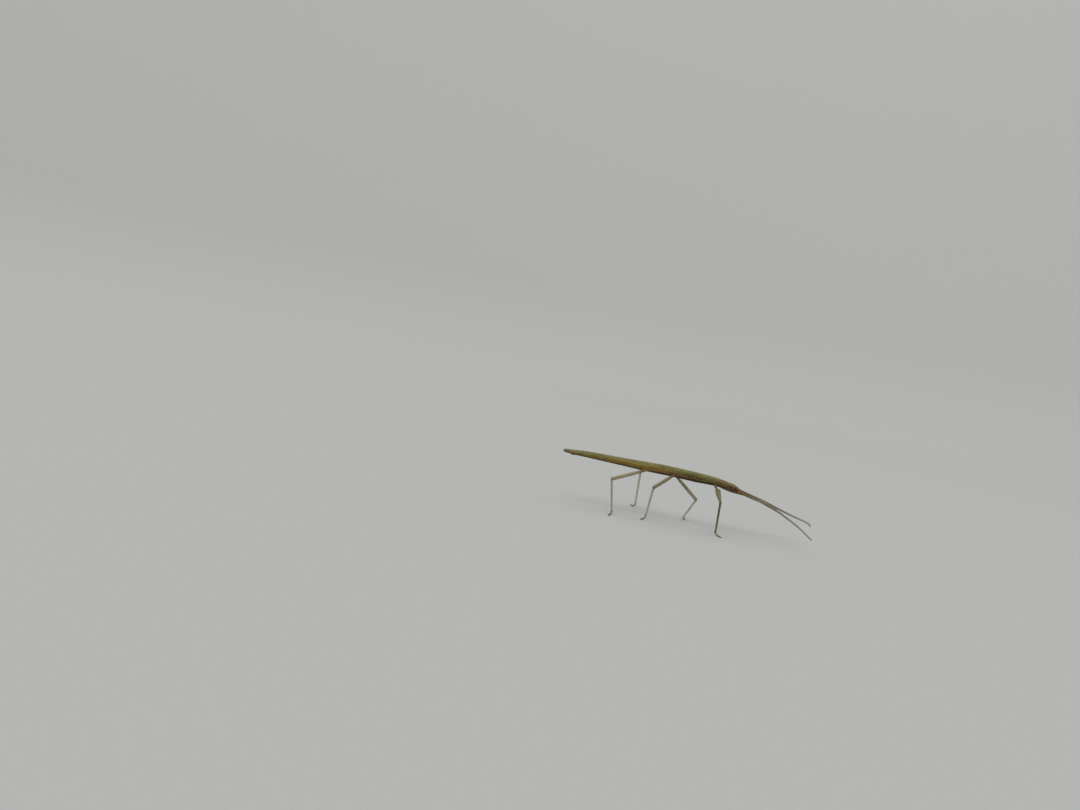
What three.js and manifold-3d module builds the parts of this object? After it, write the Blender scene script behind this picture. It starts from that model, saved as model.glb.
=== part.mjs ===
// A young Indian stick insect (Carausius morosus) at life size, standing on five legs with the left
// foreleg held out in front. Millimetres; +X is forward, +Y is the insect's left, +Z is up, and the
// floor is z = 0.
import * as THREE from "three";
import { mergeVertices } from "three/addons/utils/BufferGeometryUtils.js";
import Module from "manifold-3d";

const wasm = await Module();
wasm.setup();

// ---------------------------------------------------------------- driving dimensions

// The trunk, from the head's front to the abdomen's tip.
const HEAD_FRONT = 14.55;
const HEAD_LENGTH = 2.75;
const PROTHORAX_LENGTH = 3.0;
const MESOTHORAX_LENGTH = 8.6;
const METATHORAX_LENGTH = 6.4;
// The ten rings of the abdomen, the first one behind the hind legs.
const ABDOMEN_LENGTHS = [1.5, 2.05, 2.05, 2.05, 2.05, 2.05, 1.6, 1.3, 1.0, 1.15];

// The trunk's centre line: nearly level, with the front bowed down.
const AXIS_HEIGHT = 10.16;
const FORWARD_FALL = Math.tan(THREE.MathUtils.degToRad(0.4));
const BOW = 0.0127;
const BOW_START = 6.0;

// Half-width of the trunk, its rise above the centre line and its drop below it.
const GIRTH = [
  { at: -23.0, wide: 0.34, rise: 0.3, drop: 0.28 },
  { at: -22.6, wide: 0.42, rise: 0.36, drop: 0.38 },
  { at: -21.2, wide: 0.62, rise: 0.5, drop: 0.56 },
  { at: -19.5, wide: 0.72, rise: 0.65, drop: 0.54 },
  { at: -17.0, wide: 0.82, rise: 0.8, drop: 0.6 },
  { at: -9.0, wide: 0.98, rise: 0.98, drop: 0.8 },
  { at: -5.6, wide: 1.12, rise: 1.1, drop: 0.92 },
  { at: -1.5, wide: 1.02, rise: 1.23, drop: 0.92 },
  { at: 1.0, wide: 1.1, rise: 1.19, drop: 0.93 },
  { at: 5.5, wide: 0.96, rise: 1.04, drop: 1.1 },
  { at: 9.0, wide: 0.88, rise: 0.94, drop: 0.92 },
  { at: 11.6, wide: 0.8, rise: 0.88, drop: 0.78 },
  { at: 12.2, wide: 0.82, rise: 0.88, drop: 0.84 },
  { at: 13.05, wide: 0.86, rise: 0.87, drop: 0.88 },
  { at: 13.6, wide: 0.8, rise: 0.78, drop: 0.78 },
  { at: 14.1, wide: 0.66, rise: 0.64, drop: 0.6 },
  { at: 14.4, wide: 0.46, rise: 0.44, drop: 0.42 },
  { at: 14.55, wide: 0.26, rise: 0.22, drop: 0.24 },
];
const RING_EDGE = 0.16; // length over which a ring's rim rounds off
const RING_EDGE_GIRTH = 0.93; // its girth at the very end, as a share
const SQUARENESS = 0.92; // below 1 the trunk's section is a little squarer than an ellipse

const CUT = 0.06; // the thin cut between two neighbouring pieces

// The head's small pieces.
const EYE_RADIUS = 0.34;
const EYE_FROM_FRONT = 1.5;
const EYE_LIFT = 0.02;
const EYE_OUT = 0.72;
const MOUTH_FROM_FRONT = 0.75;
const MOUTH_DROP = 0.42;
const MOUTH = { length: 0.5, width: 0.5, depth: 0.4 };
const PALP_RADIUS = 0.18;
const CERCUS_RADIUS = 0.2;

// Half-thicknesses of the feelers and the legs.
const SCAPE_RADIUS = 0.34;
const FEELER_RADIUS = 0.28;
const SCAPE_LENGTH = 0.9;
const COXA_RADIUS = 0.4;
const COXA_REACH = 0.8; // from the hip's root to the thigh's start
const FEMUR = {
  fore: { wide: 0.68, thick: 0.32 },
  mid: { wide: 0.4, thick: 0.4 },
  hind: { wide: 0.42, thick: 0.42 },
};
const TIBIA_RADIUS = 0.25;
const TARSUS_RADIUS = 0.25;
const TARSUS_HEIGHT = 0.2; // of its centre line where it lies on the floor

// The feelers' routes, from the head to the tip.
const FEELERS = {
  right: [
    [14.1, -0.4, 9.26],
    [15.1, -0.62, 8.73],
    [17.8, -1.5, 8.17],
    [19.8, -2.1, 7.81],
    [21.9, -2.8, 7.06],
    [23.9, -3.8, 6.18],
    [26.6, -5.45, 4.82],
    [29.3, -7.0, 3.0],
  ],
  left: [
    [14.1, 0.4, 9.3],
    [15.2, 0.47, 9.0],
    [17.0, 0.55, 8.54],
    [19.2, 0.75, 8.03],
    [21.5, 1.2, 7.35],
    [23.8, 1.8, 6.6],
    [27.3, 2.75, 5.56],
    [30.5, 3.8, 4.6],
    [31.2, 4.1, 3.95],
  ],
};

// Each leg's hip, knee, ankle and toe, and how far its thigh bows forward, outward and up.
const LEGS = {
  right_fore: {
    pair: "fore",
    joints: [[9.45, -0.7, 9.15], [10.05, -8.6, 7.1], [10.6, -5.9, 0.5], [11.7, -7.8, 0.2]],
    bow: [0.3, 0, -0.2],
  },
  left_fore: {
    pair: "fore",
    joints: [[9.45, 0.7, 9.35], [17.7, 2.0, 8.08], [23.9, 5.0, 5.75], [26.1, 5.9, 4.6]],
    bow: [0, 0.9, 0],
    raised: true,
  },
  right_mid: {
    pair: "mid",
    joints: [[0.7, -0.75, 9.75], [-3.3, -5.0, 6.85], [-3.68, -4.1, 0.5], [-4.7, -5.75, 0.2]],
    bow: [0, 0, 0],
  },
  left_mid: {
    pair: "mid",
    joints: [[0.9, 0.75, 9.7], [6.5, 2.0, 5.08], [4.6, 3.95, 0.5], [5.3, 5.9, 0.2]],
    bow: [0, 0, 0],
  },
  right_hind: {
    pair: "hind",
    joints: [[-5.4, -0.75, 9.5], [-12.0, -3.25, 6.7], [-10.67, -6.55, 0.5], [-11.3, -8.7, 0.2]],
    bow: [0, 0, 0],
  },
  left_hind: {
    pair: "hind",
    joints: [[-5.4, 0.75, 9.5], [-5.95, 7.8, 8.15], [-5.76, 7.55, 0.5], [-6.65, 9.55, 0.2]],
    bow: [0, 0, 0],
  },
};

// The middle of the whole insect's box, which the part's origin stands under.
const MIDDLE = new THREE.Vector3(4.12, 0.42, 0);

// ---------------------------------------------------------------- materials

const UP = new THREE.Vector3(0, 0, 1);

function paint(colour, roughness) {
  return new THREE.MeshStandardMaterial({ color: colour, roughness, metalness: 0 });
}

const COLOURS = {
  trunk: { colour: 0x6a6140, roughness: 0.6 },
  head: { colour: 0x6b5f41, roughness: 0.55 },
  eye: { colour: 0x8a7440, roughness: 0.2 },
  feeler: { colour: 0x6f6c5a, roughness: 0.6 },
  thigh: { colour: 0x736a4a, roughness: 0.6 },
  shin: { colour: 0x8f8a72, roughness: 0.6 },
  foot: { colour: 0x5d4a33, roughness: 0.6 },
  mouth: { colour: 0x4e3b26, roughness: 0.5 },
};

// ---------------------------------------------------------------- helpers

// A stretch of another curve, between two shares of its length.
class Stretch extends THREE.Curve {
  constructor(whole, from, to) {
    super();
    this.whole = whole;
    this.from = from;
    this.to = to;
  }

  getPoint(share) {
    const along = THREE.MathUtils.lerp(this.from, this.to, share);
    return this.whole.getPointAt(THREE.MathUtils.clamp(along, 0, 1));
  }
}

function axisHeight(forward) {
  return AXIS_HEIGHT - FORWARD_FALL * forward - BOW * Math.max(0, forward - BOW_START) ** 2;
}

// The trunk's centre line between two places.
class TrunkLine extends THREE.Curve {
  constructor(from, to) {
    super();
    this.from = from;
    this.to = to;
  }

  getPoint(share) {
    const forward = THREE.MathUtils.lerp(this.from, this.to, share);
    return new THREE.Vector3(forward, 0, axisHeight(forward));
  }
}

function trunkGirth(forward) {
  const next = GIRTH.findIndex((station) => station.at >= forward);
  if (next <= 0) return next === 0 ? GIRTH[0] : GIRTH.at(-1);
  const before = GIRTH[next - 1];
  const after = GIRTH[next];
  const share = (forward - before.at) / (after.at - before.at);
  const mix = (key) => THREE.MathUtils.lerp(before[key], after[key], share);
  return { wide: mix("wide"), rise: mix("rise"), drop: mix("drop") };
}

// A lathe laid along a curve. Each of its rounds stands at a share of the curve's length and has
// its own half-width, rise and drop. "grow" thickens it all round, to cut a seat for it.
function layAlong({ curve, rounds, sides, squareness = 1, upright = UP }, grow = 0) {
  const last = rounds.length - 1;
  const profile = rounds.map((round, index) => new THREE.Vector2(1, index));
  profile.unshift(new THREE.Vector2(0, 0));
  profile.push(new THREE.Vector2(0, last));
  const geometry = new THREE.LatheGeometry(profile, sides);
  const place = geometry.attributes.position;
  const frames = rounds.map(({ at }, index) => {
    const along = curve.getTangentAt(at);
    const side = new THREE.Vector3().crossVectors(along, upright).normalize();
    const above = new THREE.Vector3().crossVectors(side, along);
    const ends = index === 0 ? -grow : index === last ? grow : 0;
    return { centre: curve.getPointAt(at).addScaledVector(along, ends), side, above };
  });
  const squared = (value) => Math.sign(value) * Math.abs(value) ** squareness;
  for (let index = 0; index < place.count; index += 1) {
    const round = Math.round(place.getY(index));
    const across = squared(place.getX(index));
    const height = squared(place.getZ(index));
    const { wide, rise, drop } = rounds[round];
    const { centre, side, above } = frames[round];
    const corner = centre.clone().addScaledVector(side, across * (wide + grow));
    corner.addScaledVector(above, height * ((height > 0 ? rise : drop) + grow));
    place.setXYZ(index, corner.x, corner.y, corner.z);
  }
  return geometry;
}

function solidOf(geometry) {
  const bare = geometry.clone();
  bare.deleteAttribute("normal");
  bare.deleteAttribute("uv");
  const merged = mergeVertices(bare, 1e-5);
  return new wasm.Manifold(
    new wasm.Mesh({
      numProp: 3,
      vertProperties: merged.attributes.position.array,
      triVerts: new Uint32Array(merged.index.array),
    }),
  );
}

function geometryOf(solid) {
  const mesh = solid.getMesh();
  const geometry = new THREE.BufferGeometry();
  geometry.setAttribute("position", new THREE.BufferAttribute(mesh.vertProperties, 3));
  geometry.setIndex(new THREE.BufferAttribute(mesh.triVerts, 1));
  return geometry;
}

// One shape less the seats of its neighbours, each a shape grown by the thin cut.
function cutFor(shape, neighbours) {
  const seats = neighbours.map((neighbour) => solidOf(neighbour(CUT)));
  return seats.reduce((solid, seat) => solid.subtract(seat), solidOf(shape(0)));
}

const insect = new THREE.Group();
insect.position.copy(MIDDLE).negate();

function addPiece(name, look, geometry) {
  const { colour, roughness } = COLOURS[look];
  const mesh = new THREE.Mesh(geometry, paint(colour, roughness));
  mesh.name = name;
  insect.add(mesh);
}

// Rounds of one even thickness or of two, scaled by the shares of a profile.
function limbRounds(profile, wide, thick = wide) {
  return profile.map(([at, share]) => ({
    at,
    wide: wide * share,
    rise: thick * share,
    drop: thick * share,
  }));
}

// ---------------------------------------------------------------- trunk

const TRUNK_SIDES = 16;

// One ring of the trunk, with both of its rims rounded off.
function trunkRing(from, to, step) {
  const start = from + CUT / 2;
  const end = to - CUT / 2;
  const length = end - start;
  const steps = Math.max(1, Math.round((length - 2 * RING_EDGE) / step));
  const stations = [start];
  for (let index = 0; index <= steps; index += 1) {
    stations.push(start + RING_EDGE + ((length - 2 * RING_EDGE) * index) / steps);
  }
  stations.push(end);
  const curve = new TrunkLine(start, end);
  const rounds = stations.map((forward, index) => {
    const rim = index === 0 || index === stations.length - 1;
    const share = rim ? RING_EDGE_GIRTH : 1;
    const { wide, rise, drop } = trunkGirth(forward);
    const at = (forward - start) / length;
    return { at, wide: wide * share, rise: rise * share, drop: drop * share };
  });
  return (grow) =>
    layAlong({ curve, rounds, sides: TRUNK_SIDES, squareness: SQUARENESS }, grow);
}

const headBack = HEAD_FRONT - HEAD_LENGTH;
const prothoraxBack = headBack - PROTHORAX_LENGTH;
const mesothoraxBack = prothoraxBack - MESOTHORAX_LENGTH;
const metathoraxBack = mesothoraxBack - METATHORAX_LENGTH;

// ---------------------------------------------------------------- legs

const vector = ([forward, left, up]) => new THREE.Vector3(forward, left, up);

function legShapes({ pair, joints, bow, raised }) {
  const [root, knee, ankle, toe] = joints.map(vector);
  const outward = Math.sign(root.y);
  const inner = root.clone().add(new THREE.Vector3(0, -0.35 * outward, 0.3));
  const hip = root.clone().lerp(knee, COXA_REACH / root.distanceTo(knee));
  hip.addScaledVector(vector(bow), 0.35);
  const bend = hip.clone().lerp(knee, 0.4).addScaledVector(vector(bow), 1.6);

  const coxa = (grow) =>
    layAlong(
      {
        curve: new THREE.QuadraticBezierCurve3(inner, root, hip),
        rounds: limbRounds([[0, 0.8], [0.35, 1], [0.7, 0.8], [0.92, 0.65], [1, 0.5]], COXA_RADIUS),
        sides: 8,
      },
      grow,
    );

  // Narrow at the hip and full to the knee, but a front thigh has a shoulder and tapers again.
  const fore = [[0, 0.53], [0.04, 0.55], [0.07, 0.85], [0.1, 1], [0.5, 0.94], [0.75, 0.74],
    [0.92, 0.6], [0.985, 0.55], [1, 0.38]];
  const plain = [[0, 0.68], [0.1, 0.82], [0.3, 0.97], [0.6, 1], [0.85, 0.96], [0.94, 1],
    [0.985, 0.86], [1, 0.5]];
  const thigh = pair === "fore" ? fore : plain;
  const upright = bow[1] ? UP : new THREE.Vector3(1, 0, 0);
  const femurCurve = new THREE.QuadraticBezierCurve3(hip, bend, knee);
  const { wide, thick } = FEMUR[pair];
  const femur = (grow) =>
    layAlong(
      { curve: femurCurve, rounds: limbRounds(thigh, thick, wide), sides: 8, upright },
      grow,
    );

  const shin = [[0, 0.8], [0.03, 1.15], [0.1, 1], [0.92, 1], [0.98, 1.1], [1, 0.9]];
  const tibiaCurve = new THREE.LineCurve3(knee, ankle);
  const tibia = (grow) =>
    layAlong(
      { curve: tibiaCurve, rounds: limbRounds(shin, TIBIA_RADIUS), sides: 8, upright },
      grow,
    );

  // Five short joints, each a little fuller at its far end, and the last one the claws' seat.
  const foot = [[0, 0.92], [0.1, 1], [0.36, 1.06], [0.4, 0.92], [0.55, 1.06], [0.58, 0.92],
    [0.76, 1.04], [0.8, 0.92], [0.94, 1.2], [1, 0.8]];
  const settle = ankle.clone().lerp(toe, 0.3);
  settle.z = raised ? settle.z : TARSUS_HEIGHT;
  const tarsusCurve = new THREE.QuadraticBezierCurve3(ankle, settle, toe);
  const tarsus = (grow) =>
    layAlong({ curve: tarsusCurve, rounds: limbRounds(foot, TARSUS_RADIUS), sides: 8 }, grow);

  return { coxa, femur, tibia, tarsus };
}

// A block under the floor, which planes the feet flat.
function belowFloor() {
  const block = new THREE.BoxGeometry(60, 40, 2);
  block.translate(0, 0, -1);
  return block;
}

const legs = Object.fromEntries(
  Object.entries(LEGS).map(([name, leg]) => [name, legShapes(leg)]),
);
for (const [name, { coxa, femur, tibia, tarsus }] of Object.entries(legs)) {
  addPiece(`coxa_${name}`, "thigh", coxa(0));
  addPiece(`femur_${name}`, "thigh", geometryOf(cutFor(femur, [coxa])));
  addPiece(`tibia_${name}`, "shin", geometryOf(cutFor(tibia, [femur])));
  const planed = cutFor(tarsus, [tibia]).subtract(solidOf(belowFloor()));
  addPiece(`tarsus_${name}`, "foot", geometryOf(planed));
}

// Each thoracic ring is cut for the two coxae that it carries.
const THORAX = [
  { name: "prothorax", from: prothoraxBack, to: headBack, pair: "fore" },
  { name: "mesothorax", from: mesothoraxBack, to: prothoraxBack, pair: "mid" },
  { name: "metathorax", from: metathoraxBack, to: mesothoraxBack, pair: "hind" },
];
for (const { name, from, to, pair } of THORAX) {
  const coxae = [legs[`right_${pair}`].coxa, legs[`left_${pair}`].coxa];
  addPiece(name, "trunk", geometryOf(cutFor(trunkRing(from, to, 1.2), coxae)));
}

// ---------------------------------------------------------------- abdomen

function cercus(side) {
  const rounds = limbRounds([[0, 0.9], [0.5, 1], [0.85, 0.8], [1, 0.4]], CERCUS_RADIUS);
  const curve = new THREE.LineCurve3(
    new THREE.Vector3(-22.3, 0.2 * side, 10.06),
    new THREE.Vector3(-23.1, 0.32 * side, 10.2),
  );
  return (grow) => layAlong({ curve, rounds, sides: 8 }, grow);
}

const cerci = { left: cercus(1), right: cercus(-1) };
for (const [side, shape] of Object.entries(cerci)) {
  addPiece(`cercus_${side}`, "trunk", shape(0));
}

let ringFront = metathoraxBack;
ABDOMEN_LENGTHS.forEach((length, index) => {
  const ring = trunkRing(ringFront - length, ringFront, 0.9);
  const last = index === ABDOMEN_LENGTHS.length - 1;
  const shape = last ? geometryOf(cutFor(ring, Object.values(cerci))) : ring(0);
  addPiece(`abdomen_${index + 1}`, "trunk", shape);
  ringFront -= length;
});

// ---------------------------------------------------------------- feelers

const FEELER_STEPS = 9; // of each half

const feelers = Object.entries(FEELERS).map(([side, points]) => {
  const route = new THREE.CatmullRomCurve3(points.map(vector));
  const length = route.getLength();
  const scapeEnd = SCAPE_LENGTH / length;
  const gap = CUT / length;
  const scape = (grow) =>
    layAlong(
      {
        curve: new Stretch(route, 0, scapeEnd),
        rounds: limbRounds([[0, 0.9], [0.3, 1.05], [0.8, 1.05], [1, 0.85]], SCAPE_RADIUS),
        sides: 8,
      },
      grow,
    );
  const profile = [[0, 0.9]];
  for (let step = 1; step < FEELER_STEPS; step += 1) {
    profile.push([step / FEELER_STEPS, 1]);
  }
  profile.push([1, 0.9]);
  const rounds = limbRounds(profile, FEELER_RADIUS);
  const piece = (from, to) => (grow) =>
    layAlong({ curve: new Stretch(route, from, to), rounds, sides: 8 }, grow);
  const middle = (1 + scapeEnd) / 2;
  return {
    side,
    scape,
    inner: piece(scapeEnd + gap, middle),
    outer: piece(middle + gap, 1),
  };
});
for (const { side, scape, inner, outer } of feelers) {
  addPiece(`antenna_${side}_scape`, "feeler", scape(0));
  addPiece(`antenna_${side}_inner`, "feeler", inner(0));
  addPiece(`antenna_${side}_outer`, "feeler", outer(0));
}

// ---------------------------------------------------------------- head

function headShape(grow) {
  const start = headBack + CUT / 2;
  const length = HEAD_FRONT - start;
  const shares = [0, 0.05, 0.16, 0.32, 0.53, 0.66, 0.78, 0.87, 0.94, 1];
  const rounds = shares.map((at) => {
    const { wide, rise, drop } = trunkGirth(start + at * length);
    const share = at === 0 ? RING_EDGE_GIRTH : 1;
    return { at, wide: wide * share, rise: rise * share, drop: drop * share };
  });
  const curve = new TrunkLine(start, HEAD_FRONT);
  return layAlong({ curve, rounds, sides: TRUNK_SIDES, squareness: SQUARENESS }, grow);
}

function ball(centre, [length, width, depth]) {
  return (grow) => {
    const geometry = new THREE.SphereGeometry(1, 12, 8);
    geometry.scale(length + grow, width + grow, depth + grow);
    geometry.translate(centre.x, centre.y, centre.z);
    return geometry;
  };
}

const eyeForward = HEAD_FRONT - EYE_FROM_FRONT;
const eyes = { left: 1, right: -1 };
for (const [side, sign] of Object.entries(eyes)) {
  const centre = new THREE.Vector3(eyeForward, EYE_OUT * sign, axisHeight(eyeForward) + EYE_LIFT);
  eyes[side] = ball(centre, [EYE_RADIUS, EYE_RADIUS, EYE_RADIUS]);
  addPiece(`eye_${side}`, "eye", eyes[side](0));
}

const mouthForward = HEAD_FRONT - MOUTH_FROM_FRONT;
const mouthCentre = new THREE.Vector3(mouthForward, 0, axisHeight(mouthForward) - MOUTH_DROP);
const mouth = ball(mouthCentre, [MOUTH.length, MOUTH.width, MOUTH.depth]);
addPiece("mouthparts", "mouth", geometryOf(cutFor(mouth, [headShape])));

for (const [side, sign] of Object.entries({ left: 1, right: -1 })) {
  const curve = new THREE.QuadraticBezierCurve3(
    mouthCentre.clone().add(new THREE.Vector3(-0.35, 0.5 * sign, 0)),
    mouthCentre.clone().add(new THREE.Vector3(0, 0.75 * sign, -0.32)),
    mouthCentre.clone().add(new THREE.Vector3(0.5, 0.62 * sign, -0.3)),
  );
  const rounds = limbRounds([[0, 0.9], [0.4, 1], [0.9, 0.9], [1, 0.5]], PALP_RADIUS);
  const palp = (grow) => layAlong({ curve, rounds, sides: 7 }, grow);
  addPiece(`palp_${side}`, "mouth", geometryOf(cutFor(palp, [headShape, mouth])));
}

const headSeats = [eyes.left, eyes.right, ...feelers.map(({ scape }) => scape)];
addPiece("head", "head", geometryOf(cutFor(headShape, headSeats)));

export default insect;
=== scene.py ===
"""A young Indian stick insect (Carausius morosus) at life size, with its finishes and its studio.

Run as a script in Blender 4.5. The pieces are modelled in millimetres, with +X forward, +Y the
insect's left and the floor at z = 0, and are then brought into the frame in metres.
"""

import math
import random

import bpy
import numpy as np
from mathutils import Matrix, Vector


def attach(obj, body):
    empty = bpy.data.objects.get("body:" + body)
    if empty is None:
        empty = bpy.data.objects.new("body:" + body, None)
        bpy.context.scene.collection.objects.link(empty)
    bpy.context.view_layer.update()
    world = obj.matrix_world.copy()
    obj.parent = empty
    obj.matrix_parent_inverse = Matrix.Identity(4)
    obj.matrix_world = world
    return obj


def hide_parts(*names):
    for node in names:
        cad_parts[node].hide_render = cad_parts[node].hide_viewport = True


bl_info = {
    "name": "Stick insect",
    "version": (1, 0, 0),
    "blender": (4, 5, 0),
    "location": "View3D > Sidebar > Stick insect",
    "description": "Models a young stick insect at life size, with its finishes and its studio",
    "category": "Object",
}

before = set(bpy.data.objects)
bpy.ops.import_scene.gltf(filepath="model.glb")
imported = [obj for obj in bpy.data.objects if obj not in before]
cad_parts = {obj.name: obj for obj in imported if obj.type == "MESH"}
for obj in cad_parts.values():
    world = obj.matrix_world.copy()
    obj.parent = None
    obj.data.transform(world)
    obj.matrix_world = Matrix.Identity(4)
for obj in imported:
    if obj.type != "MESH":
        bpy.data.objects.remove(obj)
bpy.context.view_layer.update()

MM = 0.001
UP = Vector((0.0, 0.0, 1.0))
# What the working place of everything is shifted by, so that the origin is under the middle.
MIDDLE = Vector((4.12, 0.42, 0.0))
SIDES = {"left": 1, "right": -1}

# ---------------------------------------------------------------- driving dimensions, millimetres

COLLAR = 11.8  # the pronotum's front rim
TAIL_END = -22.99  # the edge of the tail's blunt end
# The joints between the rings of the trunk, from the tail forward.
RING_JOINTS = (-23.0, -21.85, -20.85, -19.55, -17.95, -15.9, -13.85, -11.8, -9.75, -7.7, -6.2)
THORAX_JOINTS = (0.2, 8.8)

# The trunk's centre line: its height, its even fall forward, and its bow down in front.
AXIS_HEIGHT = 10.16
FORWARD_FALL = math.tan(math.radians(0.4))
BOW = 0.0127
BOW_START = 6.0
# The trunk's rings: how far apart they are, the reach that their girth is evened out over, and
# their share of the full girth, which leaves room for the grain.
RING_SPACING = 0.27
EVENED = 0.4
TRUNK_SHARE = 0.985
HEAD_RINGS = 40
# The collar turns in on itself, and the neck stands in it: places and shares of the girth.
COLLAR_ROLL = ((11.5, 0.99), (11.62, 0.985), (11.72, 0.985), (11.79, 0.97))
COLLAR_ROLL += ((11.8, 0.94), (11.74, 0.905), (11.62, 0.88), (11.5, 0.84))

# Half-width of the trunk, its rise above the centre line and its drop below it.
GIRTH = np.array((
    (-23.0, 0.34, 0.30, 0.28),
    (-22.6, 0.42, 0.36, 0.38),
    (-21.2, 0.62, 0.50, 0.56),
    (-19.5, 0.72, 0.65, 0.54),
    (-17.0, 0.82, 0.80, 0.60),
    (-9.0, 0.98, 0.98, 0.80),
    (-5.6, 1.12, 1.10, 0.92),
    (-1.5, 1.02, 1.23, 0.92),
    (1.0, 1.10, 1.19, 0.93),
    (5.5, 0.96, 1.04, 1.10),
    (9.0, 0.88, 0.94, 0.92),
    (11.6, 0.80, 0.88, 0.78),
    (11.9, 0.80, 0.88, 0.78),
))

# The same for the head, with its neck inside the collar.
HEAD_GIRTH = np.array((
    (11.45, 0.50, 0.50, 0.45),
    (11.60, 0.62, 0.65, 0.58),
    (11.75, 0.71, 0.77, 0.69),
    (11.92, 0.76, 0.83, 0.76),
    (12.20, 0.78, 0.85, 0.81),
    (12.60, 0.79, 0.85, 0.84),
    (13.00, 0.80, 0.84, 0.86),
    (13.35, 0.79, 0.79, 0.82),
    (13.65, 0.75, 0.73, 0.74),
    (13.92, 0.68, 0.65, 0.64),
    (14.12, 0.59, 0.57, 0.55),
    (14.28, 0.48, 0.47, 0.45),
    (14.40, 0.34, 0.34, 0.33),
    (14.50, 0.18, 0.18, 0.18),
))

# Each side's knob between the eyes, cheek and edge of the jaw's seat: place, move and reach.
HEAD_DETAILS = (
    ((13.38, 0.2, 0.77), (0.0, 0.01, 0.08), 0.14),
    ((12.75, 0.74, -0.3), (0.0, 0.05, 0.0), 0.45),
    ((13.5, 0.6, -0.5), (0.0, 0.04, -0.04), 0.26),
)
# The brow's dent above the face plate, and the face plate itself.
FACE_DETAILS = (
    ((13.85, 0.0, 0.65), (0.0, 0.0, -0.05), 0.26),
    ((14.2, 0.0, 0.48), (0.03, 0.0, 0.03), 0.18),
    ((14.42, 0.0, -0.12), (0.02, 0.0, -0.04), 0.2),
)
# Where the line along the crown ends, and where the eyes and the mouth are.
CROWN_END = 13.35
EYE_FORWARD = 13.05
EYE_LIFT = 0.02
MOUTH_FORWARD = 13.8
MOUTH_DROP = 0.42
# Outlines of the mouth's plates, and the joints of its two pairs of palps.
LIP_SHAPE = ((0.0, 0.5), (0.1, 0.85), (0.4, 1.0), (0.8, 0.92), (0.95, 0.6), (1.0, 0.3))
JAW_SHAPE = ((0.0, 0.7), (0.15, 1.0), (0.5, 0.9), (0.8, 0.55), (1.0, 0.2))
PALP_JOINTS = (0.16, 0.2, 0.26, 0.24, 0.28)
SHORT_PALP_JOINTS = (0.15, 0.15, 0.16)
PALP_SHAPE = ((0.04, 0.62), (0.15, 0.78), (0.6, 1.0), (0.88, 1.0), (0.98, 0.72))
PALP_END_SHAPE = ((0.04, 0.62), (0.15, 0.8), (0.6, 0.95), (0.85, 0.8), (1.0, 0.35))

FEELERS = {
    "right": (
        ((14.05, -0.38, 9.28), (15.1, -0.62, 8.73), (17.8, -1.5, 8.17), (19.8, -2.1, 7.81))
        + ((21.9, -2.8, 7.06), (23.9, -3.8, 6.18), (26.6, -5.45, 4.82), (29.3, -7.0, 3.0))
    ),
    "left": (
        ((14.05, 0.38, 9.31), (15.2, 0.47, 9.0), (17.0, 0.55, 8.54), (19.2, 0.75, 8.03))
        + ((21.5, 1.2, 7.35), (23.8, 1.8, 6.6), (27.3, 2.75, 5.56), (30.5, 3.8, 4.6))
        + ((31.2, 4.1, 3.95),)
    ),
}
# A feeler's first joint, the length of its second, and the outline of its rings.
SCAPE_LENGTH = 0.9
SCAPE_RADIUS = 0.28
SCAPE_SHAPE = ((0.0, 0.6), (0.08, 0.8), (0.2, 0.98), (0.5, 1.12), (0.8, 1.1))
SCAPE_SHAPE += ((0.93, 0.95), (0.985, 0.7))
PEDICEL_LENGTH = 0.42
RING_SHAPE = ((0.04, 0.94), (0.14, 0.97), (0.55, 0.98), (0.87, 1.01), (0.97, 0.96))
LAST_RING_SHAPE = ((0.04, 0.94), (0.14, 0.95), (0.6, 0.9), (0.85, 0.72), (0.97, 0.35))

# Each leg's root, knee, ankle and toe.
LEGS = {
    "right_fore": ((9.45, -0.7, 9.15), (10.05, -8.6, 7.1), (10.6, -5.9, 0.5), (11.7, -7.8, 0.2)),
    "left_fore": ((9.45, 0.7, 9.35), (17.7, 2.0, 8.08), (23.9, 5.0, 5.75), (26.1, 5.9, 4.6)),
    "right_mid": ((0.7, -0.75, 9.75), (-3.3, -5.0, 6.85), (-3.68, -4.1, 0.5), (-4.7, -5.75, 0.2)),
    "left_mid": ((0.9, 0.75, 9.7), (6.5, 2.0, 5.08), (4.6, 3.95, 0.5), (5.3, 5.9, 0.2)),
    "right_hind": ((-5.4, -0.75, 9.5), (-12.0, -3.25, 6.7), (-10.67, -6.55, 0.5), (-11.3, -8.7, 0.2)),
    "left_hind": ((-5.4, 0.75, 9.5), (-5.95, 7.8, 8.15), (-5.76, 7.55, 0.5), (-6.65, 9.55, 0.2)),
}
# How far some thighs bow forward, outward and up.
BOWS = {"right_fore": (0.3, 0.0, -0.2), "left_fore": (0.0, 0.9, 0.0)}
RAISED_LEG = "left_fore"
# The height of a standing foot's centre line, and of the ankle above it.
FOOT_HEIGHT = 0.135
ANKLE_HEIGHT = 0.42
# The lengths of the patterns that the legs' joints are copied from.
COXA_LENGTH = 1.5
LIMB_LENGTH = 7.0
FOOT_LENGTH = 2.6
# How much fuller some thighs and shins are than the pattern.
THIGH_GIRTH = {"left_mid": 1.1, "right_hind": 1.12, "left_hind": 1.12}
SHIN_GIRTH = {"right_fore": 1.12, "left_fore": 1.12}
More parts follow.
